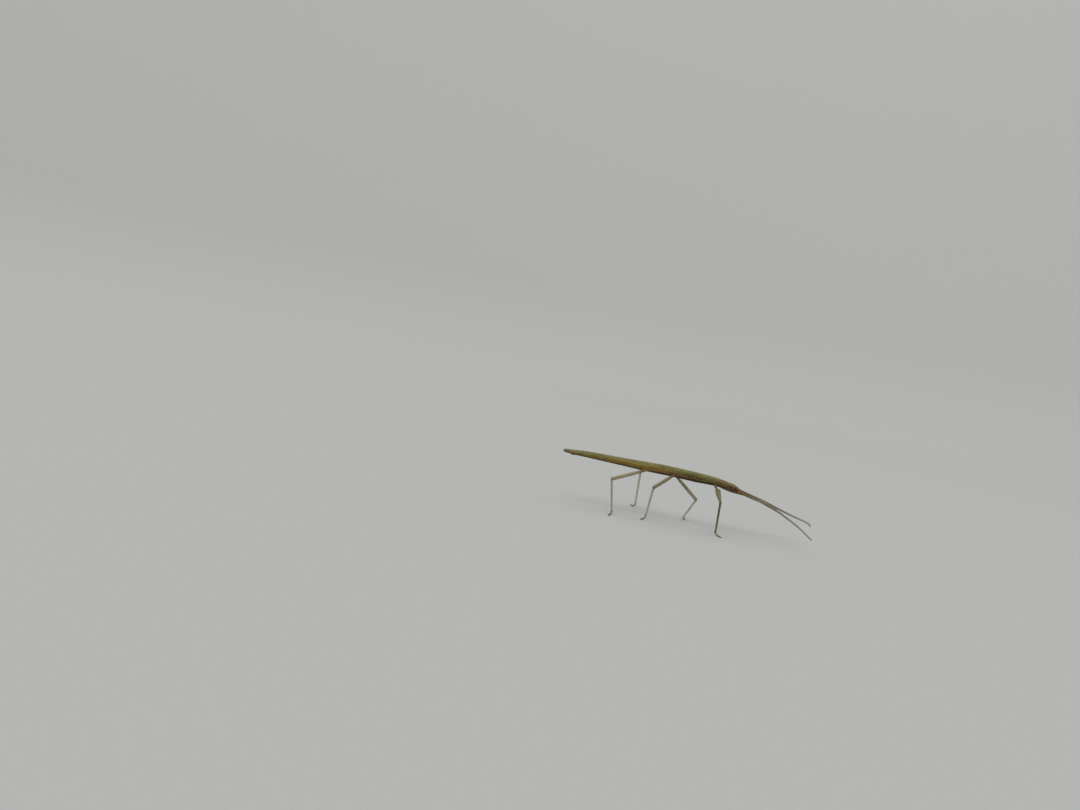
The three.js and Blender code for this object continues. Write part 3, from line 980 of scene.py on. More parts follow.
def head_finish(tones):
    """Brown olive above, with a dark mask through each eye and darker cheeks."""
    finish = Finish("head_skin", specular=0.22)
    along, across, above = finish.parts()
    wander = finish.noise(1.0, (1.2, 2.5, 2.5))
    turn = finish.turn(across, above).waver(wander, 0.08)
    section = (
        (0.0, tones.belly, 0.85),
        (0.25, tones.cheek, 0.85),
        (0.4, tones.cheek),
        (0.48, tones.cheek, 1.15),
        (0.53, tones.cheek, 0.55),
        (0.6, tones.cheek, 0.6),
        (0.66, tones.head_top),
        (0.9, tones.head_top),
        (0.97, tones.midline),
        (1.0, tones.head_top, 0.7),
    )
    finish.colour = finish.ramp(turn, section)
    blotches = finish.noise(1.5, (1.0, 2.4, 2.4), 4.0, 0.6)
    finish.shade(blotches, 0.58, 1.34)
    # The mask runs back from the eye to the neck and forward to the feeler.
    mask = darker(tones.cheek, 0.36)
    before = (along - EYE_FORWARD) * 0.95
    level = (above - (EYE_LIFT + 0.01)) * 1.9
    spread = before * before + level * level + wander * 0.5
    finish.lay(mask, spread.between(0.4, 0.95, 0.92, 0.0))
    muzzle = finish.mix(turn.between(0.58, 0.42), srgb(108, 80, 50), mask)
    finish.lay(muzzle, along.between(13.55, 14.25) * 0.6)
    flecks = finish.noise(4.6, (0.7, 1.0, 1.0), 5.0, 0.75)
    finish.lay(tones.speckle, flecks.between(0.54, 0.68, 0.0, 0.7))
    finish.lay(tones.midline, flecks.between(0.42, 0.34, 0.0, 0.35))
    finish.lay(darker(tones.speckle, 0.8), finish.attribute("seam") * 0.5)
    return finish.done(blotches.between(0.2, 0.8, 0.62, 0.42), skin_relief(finish, blotches))


def eye_finish(tones):
    """Glossy facets, pale in the middle, streaked, and dark round the edge."""
    finish = Finish("compound_eye", specular=0.35, coat=0.15)
    outward = finish.parts()[1]
    streaks = finish.noise(1.0, (3.0, 3.0, 14.0))
    stops = (
        (0.0, tones.rim, 0.8),
        (0.55, tones.rim),
        (0.7, tones.centre, 0.55),
        (0.86, tones.centre, 0.9),
        (1.0, tones.centre, 1.1),
    )
    finish.colour = finish.ramp(outward.waver(streaks, 0.22), stops)
    finish.lay(tones.rim, finish.noise(9.0, detail=2.0).between(0.55, 0.68, 0.0, 0.5))
    roughness = streaks.between(0.3, 0.7, 0.28, 0.4)
    return finish.done(roughness, finish.bump(finish.noise(40.0), 0.002))


def feeler_finish(tones):
    """Brown at the root, olive in the middle and grey at the tip, darker at each ring's end."""
    finish = Finish("feeler_skin", specular=0.35)
    stops = (
        (0.0, tones.root, 0.7),
        (0.03, tones.root),
        (0.1, tones.root),
        (0.16, tones.middle, 0.74),
        (0.22, tones.middle, 0.82),
        (0.3, srgb(130, 118, 102)),
        (0.42, tones.middle, 1.02),
        (0.6, tones.tip, 0.66),
        (0.8, tones.tip, 0.88),
        (1.0, tones.tip),
    )
    finish.colour = finish.ramp(finish.attribute("along"), stops)
    streaks = finish.noise(1.0, (0.8, 7.0, 7.0), 4.0, 0.6)
    finish.shade(streaks, 0.75, 1.25)
    finish.lay(darker(tones.root, 0.4), finish.attribute("seam") * 0.32)
    roughness = streaks.between(0.2, 0.8, 0.66, 0.5)
    grain = finish.bump(finish.cells(14.0), 0.01)
    return finish.done(roughness, finish.bump(streaks, 0.012, grain))


def limb_finish(name, stops, speckle, streak, band=None, hip=None):
    """A limb streaked along its length, with specks and dark joints.

    The streak is how many times narrower than long its streaks are, the band a colour with its
    place and its share, and the hip the colour of the joint at the body.
    """
    finish = Finish(name, specular=0.38)
    wander = finish.noise(1.0, (0.8, 1.5, 1.5))
    share = finish.attribute("along").waver(wander, 0.08)
    finish.colour = finish.ramp(share, stops)
    if band:
        tone, place, part = band
        broken = finish.noise(1.2, (1.0, 4.0, 4.0), 4.0)
        finish.lay(tone, share.near(place, 0.17) * broken.between(0.3, 0.6) * part)
    if hip:
        finish.lay(hip, finish.attribute("hip"))
    streaks = finish.noise(1.0, (0.9, streak, streak), 4.0, 0.65)
    finish.shade(streaks, 0.72, 1.24)
    flecks = finish.noise(1.8, (1.6, 4.0, 4.0), 4.0, 0.7)
    finish.lay(speckle, flecks.between(0.58, 0.7, 0.0, 0.5))
    finish.lay(darker(speckle, 0.8), finish.attribute("seam") * 0.4)
    return finish.done(streaks.between(0.2, 0.8, 0.66, 0.48), skin_relief(finish, streaks))


def horn_finish(name, colour, polish):
    """Dark polished horn, darkest at its tip."""
    finish = Finish(name, specular=0.4, coat=polish)
    stops = ((0.0, colour), (0.5, colour, 0.7), (1.0, colour, 0.4))
    finish.colour = finish.ramp(finish.attribute("along"), stops)
    cloud = finish.noise(1.5, (2.0, 8.0, 8.0))
    finish.shade(cloud, 0.75, 1.3)
    return finish.done(cloud.between(0.2, 0.8, 0.3, 0.42), finish.bump(cloud, 0.01))


def bristle_finish(colour):
    finish = Finish("bristles", specular=0.3, lie=False)
    cloud = finish.noise(1500.0, detail=2.0)
    finish.colour = finish.ramp(cloud, ((0.25, colour, 0.7), (0.75, colour, 1.35)))
    return finish.done(cloud.between(0.2, 0.8, 0.4, 0.6), finish.bump(cloud, 0.002))


def floor_finish(colour):
    """A plain pale sweep, with the faintest tooth of paper."""
    finish = Finish("floor_paper", specular=0.15, lie=False)
    tooth = finish.noise(900.0)
    finish.colour = finish.ramp(tooth, ((0.25, colour, 0.985), (0.75, colour, 1.015)))
    return finish.done(tooth.between(0.2, 0.8, 0.85, 0.95), finish.bump(tooth, 0.02))


# ---------------------------------------------------------------- trunk


def segment_rings(back, front):
    """Rings of one segment, whose raised hind rim overlaps the next segment behind it."""
    rims = ((0.015, 0.985), (0.05, 1.006), (0.13, 1.006), (0.28, 1.0))
    collars = ((0.3, 0.997), (0.16, 0.988), (0.05, 0.968), (0.015, 0.958))
    spots = [(back + gap, share) for gap, share in rims]
    start, end = back + rims[-1][0], front - collars[0][0]
    count = max(1, round((end - start) / RING_SPACING))
    spots += [(start + (end - start) * step / count, 1.0) for step in range(1, count)]
    return spots + [(front - gap, share) for gap, share in collars]


def above_axis(co):
    return co.z - float(axis_height(co.x))


class STICKINSECT_OT_trunk(bpy.types.Operator):
    """Model the thorax and the abdomen as one skin with telescoping rings"""

    bl_idname = "stick_insect.trunk"
    bl_label = "Trunk"

    def execute(self, context):
        settings = context.scene.stick_insect_trunk
        rings = [ring_at(GIRTH, RING_JOINTS[0], 0.3), ring_at(GIRTH, TAIL_END, 0.75)]
        joints = (*RING_JOINTS, *THORAX_JOINTS, COLLAR)
        for back, front in zip(joints, joints[1:]):
            for forward, share in segment_rings(back, front):
                if TAIL_END + 0.03 < forward < COLLAR - 0.35:
                    rings.append(ring_at(GIRTH, forward, share * TRUNK_SHARE, EVENED))
        for forward, share in COLLAR_ROLL:
            rings.append(ring_at(GIRTH, COLLAR - 0.2, share * TRUNK_SHARE, at=forward))
        trunk = draw_shell("trunk_skin", TRUNK_SIDES, rings)
        self.raise_lines(trunk, settings.keel_height / MM, settings.fold_depth / MM)
        self.shape_sides(trunk)
        # The pronotum's cross groove, and the plate under the tail with its step.
        swell(trunk, lambda co: 10.25 < co.x < 10.55 and above_axis(co) > 0.2, -0.05)
        push(trunk, on_body(-20.95, 0.0, -0.55), (-0.1, 0.0, -0.09), 0.7)
        push(trunk, on_body(-21.75, 0.0, -0.45), (0.05, 0.0, 0.1), 0.45)
        push(trunk, on_body(-22.95, 0.0, 0.0), (0.1, 0.0, 0.0), 0.16)
        round_off(trunk)
        granulate(trunk, settings.granule_size / MM, settings.granule_height / MM)
        granulate(trunk, size=0.6, height=0.02)
        note_level_lie(trunk)
        inner = (*RING_JOINTS[1:], *THORAX_JOINTS)
        note_seams(trunk, [joint - 0.02 for joint in inner], 0.08)
        # The raised hind rim of each ring, which the finish paints paler as a painted highlight.
        rims = [joint + 0.1 for joint in (*inner, COLLAR - 0.15)]
        note_number(trunk, "rim", near_joint(places_of(trunk)[:, 0], rims, 0.09))
        nodes = ["prothorax", "mesothorax", "metathorax"]
        nodes += [f"abdomen_{number}" for number in range(1, 11)]
        finish_piece(trunk, trunk_finish(settings), nodes)
        return {"FINISHED"}

    def raise_lines(self, trunk, keel, fold):
        """The keels along the back and the belly, and the folds along each side."""

        def on_keel(co):
            return abs(co.y) < 1e-3 and co.x < COLLAR - 0.4

        swell(trunk, lambda co: on_keel(co) and above_axis(co) > 0.1, keel)
        swell(trunk, lambda co: on_keel(co) and above_axis(co) < 0.0, -keel * 0.6)
        # Each line runs at a fixed height round the section, as a share of its half-height.
        for line, rise in ((0.0, fold * 0.5), (-0.2588, -fold), (-0.5, fold * 0.35)):

            def on_line(co, line=line):
                wide, up, down = girth_at(GIRTH, co.x, EVENED)
                height = (above_axis(co) - (up - down) / 2) / ((up + down) / 2)
                return abs(height - line) < 0.09 and co.x < COLLAR - 0.6

            swell(trunk, on_line, rise)

    def shape_sides(self, trunk):
        """Swellings over the hips, and a slight waist in front of the two hind pairs."""
        for side in (1, -1):
            for forward, low, out, reach in (
                (0.8, -0.3, 0.11, 1.0),
                (-5.3, -0.3, 0.11, 1.0),
                (9.7, -0.25, 0.09, 0.8),
            ):
                push(trunk, on_body(forward, side * 1.05, low), (0.0, side * out, -0.03), reach)
            for forward in (2.4, -3.6):
                push(trunk, (forward, side * 1.05, 10.1), (0.0, -side * 0.05, 0.0), 1.2)


# ---------------------------------------------------------------- head


class STICKINSECT_OT_head(bpy.types.Operator):
    """Model the head capsule, with its eye sockets, feeler sockets, knobs and crown line"""

    bl_idname = "stick_insect.head"
    bl_label = "Head"

    def execute(self, context):
        settings = context.scene.stick_insect_trunk
        start, end = HEAD_GIRTH[0, 0], HEAD_GIRTH[-1, 0]
        spots = [start + (end - start) * step / HEAD_RINGS for step in range(HEAD_RINGS + 1)]
        rings = [ring_at(HEAD_GIRTH, spot, 0.99, 0.07) for spot in spots]
        head = draw_shell("head_skin", HEAD_SIDES, rings)

        def on_crown(co):
            return abs(co.y) < 1e-3 and above_axis(co) > 0.0 and 11.9 < co.x < CROWN_END

        swell(head, on_crown, -0.03)
        for side in (1, -1):
            self.socket_rims(head, side)
            for (forward, aside, above), (ahead, outward, up), reach in HEAD_DETAILS:
                place = on_body(forward, side * aside, above)
                push(head, place, (ahead, side * outward, up), reach)
        for place, move, reach in FACE_DETAILS:
            push(head, on_body(*place), move, reach)
        round_off(head)
        granulate(head, size=0.13, height=0.014)
        forward, aside, above = note_level_lie(head).T
        aside = np.abs(aside)
        # Darker at the neck, along the crown line and where the face plate begins.
        neck = np.clip(1.0 - (forward - 11.7) / 0.18, 0.0, 1.0)
        crown = np.clip(1.0 - aside / 0.035, 0.0, 1.0)
        crown *= (above > 0.0) & (forward < CROWN_END)
        plate = np.clip(1.0 - np.abs(forward - 14.24 + 0.3 * aside) / 0.04, 0.0, 1.0)
        plate *= (aside < 0.4) & (above < 0.25)
        note_number(head, "seam", np.maximum.reduce([neck, crown * 0.7, plate * 0.8]))
        finish_piece(head, head_finish(settings), ["head"])
        return {"FINISHED"}

    def socket_rims(self, head, side):
        """A raised ring round the eye, and the rim that the feeler's first joint stands in."""
        for step in range(14):
            angle = 2 * math.pi * step / 14
            forward = EYE_FORWARD + 0.37 * math.cos(angle)
            around = on_body(forward, side * 0.78, EYE_LIFT + 0.35 * math.sin(angle))
            push(head, around, (0.0, side * 0.05, 0.0), 0.14)
        push(head, on_body(13.65, side * 0.7, 0.1), (-0.02, -side * 0.05, 0.0), 0.24)
        for step in range(8):
            angle = 2 * math.pi * step / 8
            forward, aside = 14.12 - 0.12 * math.cos(angle), 0.4 + 0.24 * math.cos(angle)
            around = on_body(forward, side * aside, 0.3 * math.sin(angle))
            push(head, around, (0.08, side * 0.03, 0.03 * math.sin(angle)), 0.13)


class STICKINSECT_OT_eyes(bpy.types.Operator):
    """Model the compound eyes, each a dome of small raised facets"""

    bl_idname = "stick_insect.eyes"
    bl_label = "Eyes"

    def execute(self, context):
        settings = context.scene.stick_insect_eyes
        radius = settings.radius / MM
        put_down()
        bpy.ops.mesh.primitive_ico_sphere_add(subdivisions=5, radius=1.0)
        pattern = bpy.context.object
        facets = self.honeycomb()
        modify(pattern, "NODES", node_group=facets)
        bpy.data.node_groups.remove(facets)
        open_all()
        bpy.ops.mesh.select_mode(type="FACE")
        bpy.ops.mesh.select_all(action="SELECT")
        bpy.ops.mesh.inset(thickness=0.012, depth=0.012, use_individual=True)
        bpy.ops.object.mode_set(mode="OBJECT")
        finish = eye_finish(settings)
        for side, sign in SIDES.items():
            eye = copy_of(pattern, f"compound_eye_{side}")
            lie = places_of(eye)
            lie[:, 1] *= sign
            note_lie(eye, lie)
            eye.scale = (radius * 1.08, radius * 0.95, radius)
            eye.rotation_euler = (0.0, 0.0, sign * math.radians(-8))
            eye.location = on_body(EYE_FORWARD, sign * 0.7, EYE_LIFT)
            fix_place(eye)
            finish_piece(eye, finish, [f"eye_{side}"])
        throw_away(pattern)
        return {"FINISHED"}

    def honeycomb(self):
        """A node group that turns a ball's triangles into mostly six-sided facets."""
        facets = bpy.data.node_groups.new("Facets", "GeometryNodeTree")
        for way in ("INPUT", "OUTPUT"):
            facets.interface.new_socket("Mesh", in_out=way, socket_type="NodeSocketGeometry")
        kinds = ("NodeGroupInput", "GeometryNodeDualMesh", "NodeGroupOutput")
        entry, dual, leave = (facets.nodes.new(kind) for kind in kinds)
        facets.links.new(entry.outputs[0], dual.inputs[0])
        facets.links.new(dual.outputs[0], leave.inputs[0])
        return facets


def mouth_spot(forward, aside, above):
    """A place given from the middle of the mouth."""
    return Vector(on_body(MOUTH_FORWARD, 0.0, -MOUTH_DROP)) + Vector((forward, aside, above))


class STICKINSECT_OT_mouth(bpy.types.Operator):
    """Model the lip, the jaws, the lower lip and the jointed palps"""

    bl_idname = "stick_insect.mouth"
    bl_label = "Mouthparts"

    def execute(self, context):
        dent = ((0.46, 0.0, 0.0), (-0.09, 0.0, 0.0), 0.14)
        lip = self.lobe("upper_lip", (0.46, 0.3, 0.09), LIP_SHAPE, dent)
        stand_at(lip, mouth_spot(0.48, 0.0, 0.26), (0.35, 0.0, -1.0), (1.0, 0.0, 0.3))
        plates = [lip]
        for sign in (1, -1):
            dent = ((0.46, 0.0, 0.0), (0.0, -0.1 * sign, 0.0), 0.3)
            jaw = self.lobe(f"jaw_{sign}", (0.48, 0.17, 0.2), JAW_SHAPE, dent)
            ahead = (0.75, -0.35 * sign, -0.55)
            stand_at(jaw, mouth_spot(0.12, 0.3 * sign, 0.1), ahead, (0.5, 0.0, 1.0))
            flap = self.lobe(f"lower_lip_{sign}", (0.5, 0.12, 0.09), LIP_SHAPE)
            stand_at(flap, mouth_spot(-0.22, 0.11 * sign, -0.2), (1.0, 0.05 * sign, -0.25))
            inner = self.lobe(f"inner_jaw_{sign}", (0.52, 0.1, 0.1), LIP_SHAPE)
            stand_at(inner, mouth_spot(-0.2, 0.27 * sign, -0.1), (1.0, -0.1 * sign, -0.32))
            route = ((-0.1, 0.12, -0.26), (0.06, 0.26, -0.4), (0.36, 0.22, -0.38))
            feeler = self.palp(f"short_palp_{sign}", SHORT_PALP_JOINTS, 0.05, route, sign)
            plates += [jaw, flap, inner, feeler]
        finish = horn_finish("mouth_horn", srgb(90, 64, 40), 0.05)
        finish_piece(join("mouth_plates", plates), finish, ["mouthparts"])
        colour = srgb(128, 104, 70)
        stops = ((0.0, colour, 0.7), (0.3, colour), (1.0, colour, 0.9))
        finish = limb_finish("palp_skin", stops, srgb(70, 50, 32), 6.0)
        for side, sign in SIDES.items():
            route = ((-0.3, 0.42, 0.02), (0.0, 0.68, -0.3), (0.46, 0.56, -0.3))
            palp = self.palp(f"jointed_palp_{side}", PALP_JOINTS, 0.085, route, sign)
            finish_piece(palp, finish, [f"palp_{side}"])
        return {"FINISHED"}

    def lobe(self, name, size, shape, dent=None):
        """One plate, of a length, a half-width and a half-thickness."""
        length, wide, thick = size
        rings = straight_rings(length, wide, thick, shape, length / 7)
        piece = draw_shell(name, SLIM_SIDES, rings)
        if dent:
            push(piece, *dent)
        round_off(piece)
        note_lie(piece, length=length)
        note_seams(piece)
        return piece

    def palp(self, name, lengths, radius, route, sign):
        """A chain of short joints along an arc on one side, each fuller towards its end."""
        rings, joints, start = [], [], 0.0
        for number, length in enumerate(lengths):
            shape = PALP_SHAPE if number < len(lengths) - 1 else PALP_END_SHAPE
            rings += joint_rings(start, length, radius * (1.0 - 0.06 * number), shape)
            start += length
            joints.append(start)
        palp = draw_shell(name, FEELER_SIDES, rings)
        round_off(palp)
        note_lie(palp, length=start)
        note_seams(palp, joints[:-1], 0.03)
        route = (mouth_spot(forward, aside * sign, above) for forward, aside, above in route)
        lay_along(palp, arc_route(*route))
        return palp


# ---------------------------------------------------------------- feelers


class STICKINSECT_OT_feelers(bpy.types.Operator):
    """Model the feelers, each a stout first joint, a short second one and many rings"""

    bl_idname = "stick_insect.feelers"
    bl_label = "Feelers"

    def execute(self, context):
        settings = context.scene.stick_insect_feelers
        finish = feeler_finish(settings)
        root, tip = settings.root_radius / MM, settings.tip_radius / MM
        for side, points in FEELERS.items():
            route = smooth_route(points, 5)
            length = length_of(route) - 0.05
            rings = joint_rings(0.0, SCAPE_LENGTH, SCAPE_RADIUS, SCAPE_SHAPE)
            rest = length - SCAPE_LENGTH - PEDICEL_LENGTH
            lengths = [PEDICEL_LENGTH, *self.ring_lengths(settings.rings, rest)]
            start, last = SCAPE_LENGTH, len(lengths) - 1
            joints = [start]
            for number, reach in enumerate(lengths):
                size = root + (tip - root) * (number / last) ** 1.2
                shape = RING_SHAPE if number < last else LAST_RING_SHAPE
                rings += joint_rings(start, reach, size, shape)
                start += reach
                joints.append(start)
            feeler = draw_shell(f"feeler_{side}", FEELER_SIDES, rings)
            round_off(feeler)
            note_lie(feeler, length=length)
            note_seams(feeler, joints, 0.05)
            lay_along(feeler, route)
            nodes = [f"antenna_{side}_{part}" for part in ("scape", "inner", "outer")]
            finish_piece(feeler, finish, nodes)
        return {"FINISHED"}

    def ring_lengths(self, count, total):
        """Lengths that grow slowly from the root outwards and add up to the total."""
        shares = [0.7 + 0.6 * min(1.0, 2.2 * number / count) for number in range(count)]
        return [total * share / sum(shares) for share in shares]


# ---------------------------------------------------------------- legs


def leg_routes(name):
    """The routes of a leg's hip, thigh, shin and foot."""
    root, knee, ankle, toe = (Vector(joint) for joint in LEGS[name])
    bow = Vector(BOWS.get(name, (0.0, 0.0, 0.0)))
    inner = root + Vector((0.0, -0.3 * math.copysign(1.0, root.y), 0.25))
    hip = root.lerp(knee, COXA_REACH / (knee - root).length) + 0.35 * bow
    bend = hip.lerp(knee, 0.4) + 1.6 * bow
    ankle_low, toe_low = ankle.copy(), toe.copy()
    sole = ankle.lerp(toe, 0.3)
    if name != RAISED_LEG:
        sole.z = toe_low.z = FOOT_HEIGHT
        ankle_low.z = ANKLE_HEIGHT
    # The shin starts inside the knee, and the foot inside the shin's end.
    shin_down = (ankle - knee).normalized()
    knee_seat = knee - 0.12 * (knee - bend).normalized() - 0.12 * shin_down
    return {
        "coxa": arc_route(inner, root, hip, 4),
        "femur": arc_route(hip, bend, knee),
        "tibia": [knee_seat, ankle],
        "tarsus": arc_route(ankle_low - 0.1 * shin_down, sole, toe_low, 10),
    }


def keels(piece, raised, sunk):
    """Raise lines along a limb at four turns round it, and sink four between them."""
    for first, height in ((45.0, raised), (0.0, -sunk)):

        def on_line(co, first=first):
            turn = math.degrees(math.atan2(co.z, co.y)) - first
            return abs((turn + 45.0) % 90.0 - 45.0) < 3.0

        swell(piece, on_line, height)


class STICKINSECT_OT_legs(bpy.types.Operator):
    """Model the hips, thighs, shins and feet once, and copy them to the six legs"""

    bl_idname = "stick_insect.legs"
    bl_label = "Legs"

    def execute(self, context):
        settings = context.scene.stick_insect_legs
        masters = self.masters(settings)
        foot_finish = self.foot_finish(settings)
        for name in LEGS:
            side, pair = name.split("_")
            fore, raised = pair == "fore", name == RAISED_LEG
            routes = leg_routes(name)
            coxa = self.fit(masters["coxa"], "coxa", routes["coxa"], 0.15, 0.82 if fore else 1.0)
            note_number(coxa, "hip", np.ones(len(coxa.data.vertices)))
            # A left thigh mirrors a right one, but the one held out is turned on its edge.
            femur = self.fit(
                masters["fore_thigh" if fore else "thigh"],
                "femur",
                routes["femur"],
                0.02,
                THIGH_GIRTH.get(name, 1.0),
                mirror=1 if raised else -SIDES[side],
                on_edge=raised,
            )
            thigh = join(f"thigh_{name}", [femur, coxa])
            nodes = [f"coxa_{name}", f"femur_{name}"]
            finish_piece(thigh, self.thigh_finish(settings, name, pair), nodes)
            girth = SHIN_GIRTH.get(name, 1.0)
            shin = self.fit(masters["shin"], f"shin_{name}", routes["tibia"], 0.05, girth)
            finish_piece(shin, self.shin_finish(settings, name, pair), [f"tibia_{name}"])
            foot = self.fit(masters["foot"], f"foot_{name}", routes["tarsus"], -CLAW_LENGTH)
            finish_piece(foot, foot_finish, [f"tarsus_{name}"])
        throw_away(*masters.values())
        return {"FINISHED"}

    def fit(self, master, name, route, extra, girth=1.0, mirror=1, on_edge=False):
        """Copy a straight joint, stretch it to its route's length and lay it along it."""
        length = length_of(route) + extra
        copy = copy_of(master, name, (length / master["length"], girth * mirror, girth))
        if on_edge:
            copy.rotation_euler = (math.pi / 2, 0.0, 0.0)
            fix_place(copy)
        note_lie(copy, length=length)
        lay_along(copy, route)
        return copy

    def masters(self, settings):
        """The straight patterns that the legs' joints are copied from."""
        coxa_radius, shin_radius = settings.coxa_radius / MM, settings.shin_radius / MM
        thigh_radius = settings.thigh_radius / MM
        fore_sizes = (settings.fore_width / MM, settings.fore_thickness / MM)
        made = {}
        rings = straight_rings(COXA_LENGTH, coxa_radius, coxa_radius, COXA_SHAPE, 0.12)
        coxa = draw_shell("coxa_master", LIMB_SIDES, rings)
        made["coxa"] = self.complete(coxa, COXA_LENGTH, (0.14, 0.02), (1.14,), 0.09)
        for key, sizes, shape, edge in (
            ("fore_thigh", fore_sizes, FORE_THIGH, 0.45),
            ("thigh", (thigh_radius, thigh_radius), THIGH_SHAPE, 1.0),
        ):
            wide, thick = sizes
            rings = straight_rings(LIMB_LENGTH, wide, thick, shape, 0.27)
            thigh = draw_shell(f"{key}_master", LIMB_SIDES, rings)
            keels(thigh, 0.05, 0.022)
            # The two lobes that hold the shin, with a notch between them below.
            for side in (1, -1):
                lobe = (0.965 * LIMB_LENGTH, side * wide * edge, 0.0)
                push(thigh, lobe, (0.0, side * 0.03, 0.0), 0.25)
            push(thigh, (LIMB_LENGTH, 0.0, -thick * 0.5), (-0.08, 0.0, 0.05), 0.2)
            joints = (0.3, LIMB_LENGTH)
            made[key] = self.complete(thigh, LIMB_LENGTH, (0.13, 0.016), joints, 0.12)
        rings = straight_rings(LIMB_LENGTH, shin_radius, shin_radius, SHIN_SHAPE, 0.3)
        shin = draw_shell("shin_master", LIMB_SIDES, rings)
        keels(shin, 0.032, 0.014)
        made["shin"] = self.complete(shin, LIMB_LENGTH, (0.11, 0.01), (0.0, LIMB_LENGTH), 0.14)
        rings, ends = self.foot_rings(settings.foot_radius / MM)
        foot = draw_shell("foot_master", SLIM_SIDES, rings)
        made["foot"] = self.complete(foot, FOOT_LENGTH, (0.08, 0.005), (0.0, *ends), 0.06)
        return made

    def complete(self, piece, length, grain, joints, reach):
        """Round a pattern off, roughen it, mark its joints and note its length."""
        round_off(piece)
        granulate(piece, *grain)
        note_seams(piece, joints, reach)
        piece["length"] = length
        return piece

    def foot_rings(self, radius):
        """The rings of a foot's five joints, and where each joint ends."""
        rings, ends, start = [], [], 0.0
        for number, share in enumerate(FOOT_JOINTS):
            length = share * FOOT_LENGTH
            # The last joint is slimmer, and the first one is full where the shin holds it.
            full = radius if number < len(FOOT_JOINTS) - 1 else radius * 0.95
            for place, wide, thick, drop in FOOT_SHAPE:
                if number == 0 and place < 0.2:
                    wide, thick = 0.98, 1.0
                sizes = (full * wide, full * 0.88 * thick)
                rings.append((start + place * length, *sizes, 0.0, drop))
            start += length
            ends.append(start)
        return rings, ends

    def thigh_finish(self, settings, name, pair):
        # The far thighs, and their bands, are painted paler: painted light against the trunk's
        # shadow.
        pale = FAR_THIGH_PAINTED_LIGHT.get(name, 1.0)
        colour = darker(getattr(settings, f"thigh_{pair}"), pale)
        stops = (
            (0.0, colour, 0.6),
            (0.06, colour, 0.78),
            (0.16, colour, 0.95),
            (0.5, colour),
            (0.84, colour),
            (0.94, colour, 0.92),
            (0.98, colour, 0.78),
            (1.0, colour, 0.7),
        )
        band = None
        if pair in THIGH_BANDS:
            tint, *place_and_share = THIGH_BANDS[pair]
            band = (tinted(darker(settings.thigh_band, pale), tint), *place_and_share)
        # The hind hips' colour is partly painted light against the shade under the belly.
        hip = getattr(settings, f"hip_{pair}")
        return limb_finish(f"thigh_skin_{name}", stops, srgb(*LEG_SPECKLE), 9.0, band, hip)

    def shin_finish(self, settings, name, pair):
        fore = pair == "fore"
        colour = getattr(settings, f"shin_{pair}")
        # The far shins are painted paler and tinted: painted light against the trunk's shadow.
        colour = tinted(colour, FAR_SHIN_PAINTED_LIGHT.get(name, (1.0, 1.0, 1.0)))
        dim = 0.66 if fore else 0.95
        stops = (
            (0.0, colour, 0.7),
            (0.04, colour, 0.75),
            (0.1, colour, dim),
            (0.38, colour, dim),
            (0.45, colour, 0.9 * dim),
            (0.55, colour, (1.0 + dim) / 2),
            (0.88, colour, 1.3 if fore else 1.12),
            (0.96, colour, 0.85),
            (1.0, colour, 0.6),
        )
        return limb_finish(f"shin_skin_{name}", stops, srgb(*LEG_SPECKLE), 14.0)

    def foot_finish(self, settings):
        shin, foot = settings.shin_mid, settings.foot
        stops = ((0.0, shin, 0.65), (0.12, shin, 0.75))
        stops += ((0.34, foot), (0.8, foot), (1.0, foot, 0.6))
        return limb_finish("foot_skin", stops, srgb(60, 40, 26), 12.0)


class STICKINSECT_OT_claws(bpy.types.Operator):
    """Model one claw and one sole pad, and copy them to the six feet"""

    bl_idname = "stick_insect.claws"
    bl_label = "Claws"

    def execute(self, context):
        settings = context.scene.stick_insect_legs
        rings = []
        for share in np.linspace(0.0, 1.0, 9).tolist():
            taper = (1.05 - share) ** 0.7
            aside = 0.035 * math.sin(share * math.pi * 0.9)
            lift = 0.12 * (math.cos(share * 1.35) - 1.0)
            at = CLAW_REACH * math.sin(share * 1.35)
            rings.append((at, 0.03 * taper, 0.034 * taper, aside, lift))
        claw = draw_shell("claw_master", CLAW_SIDES, rings)
        round_off(claw, 1)
        note_lie(claw, length=CLAW_REACH)
        pad_shape = ((0.0, 0.5), (0.2, 0.9), (0.6, 1.0), (0.9, 0.7), (1.0, 0.35))
        rings = straight_rings(PAD_LENGTH, 0.05, 0.035, pad_shape, 0.03)
        pad = draw_shell("pad_master", FEELER_SIDES, rings)
        round_off(pad, 1)
        # The pad keeps to the pale end of the horn's colours.
        note_lie(pad, length=0.5)
        finish = horn_finish("claw_horn", settings.claw, 0.3)
        for name in LEGS:
            route = leg_routes(name)["tarsus"]
            ahead = (route[-1] - route[-3]).normalized()
            if name != RAISED_LEG:
                ahead.z = 0.0
                ahead.normalize()
            start = route[-1] - ahead * (CLAW_LENGTH + 0.03)
            across = UP.cross(ahead).normalized()
            pieces = []
            for sign in (1, -1):
                hook = copy_of(claw, f"claw_{name}_{sign}", (1.0, sign, 1.0))
                place = start + across * 0.06 * sign + UP * 0.02
                pieces.append(stand_at(hook, place, ahead + across * 0.32 * sign))
            sole = copy_of(pad, f"pad_{name}")
            pieces.append(stand_at(sole, start - UP * 0.03, ahead))
            finish_piece(join(f"claws_{name}", pieces), finish)
        throw_away(claw, pad)
        return {"FINISHED"}


# ---------------------------------------------------------------- tail


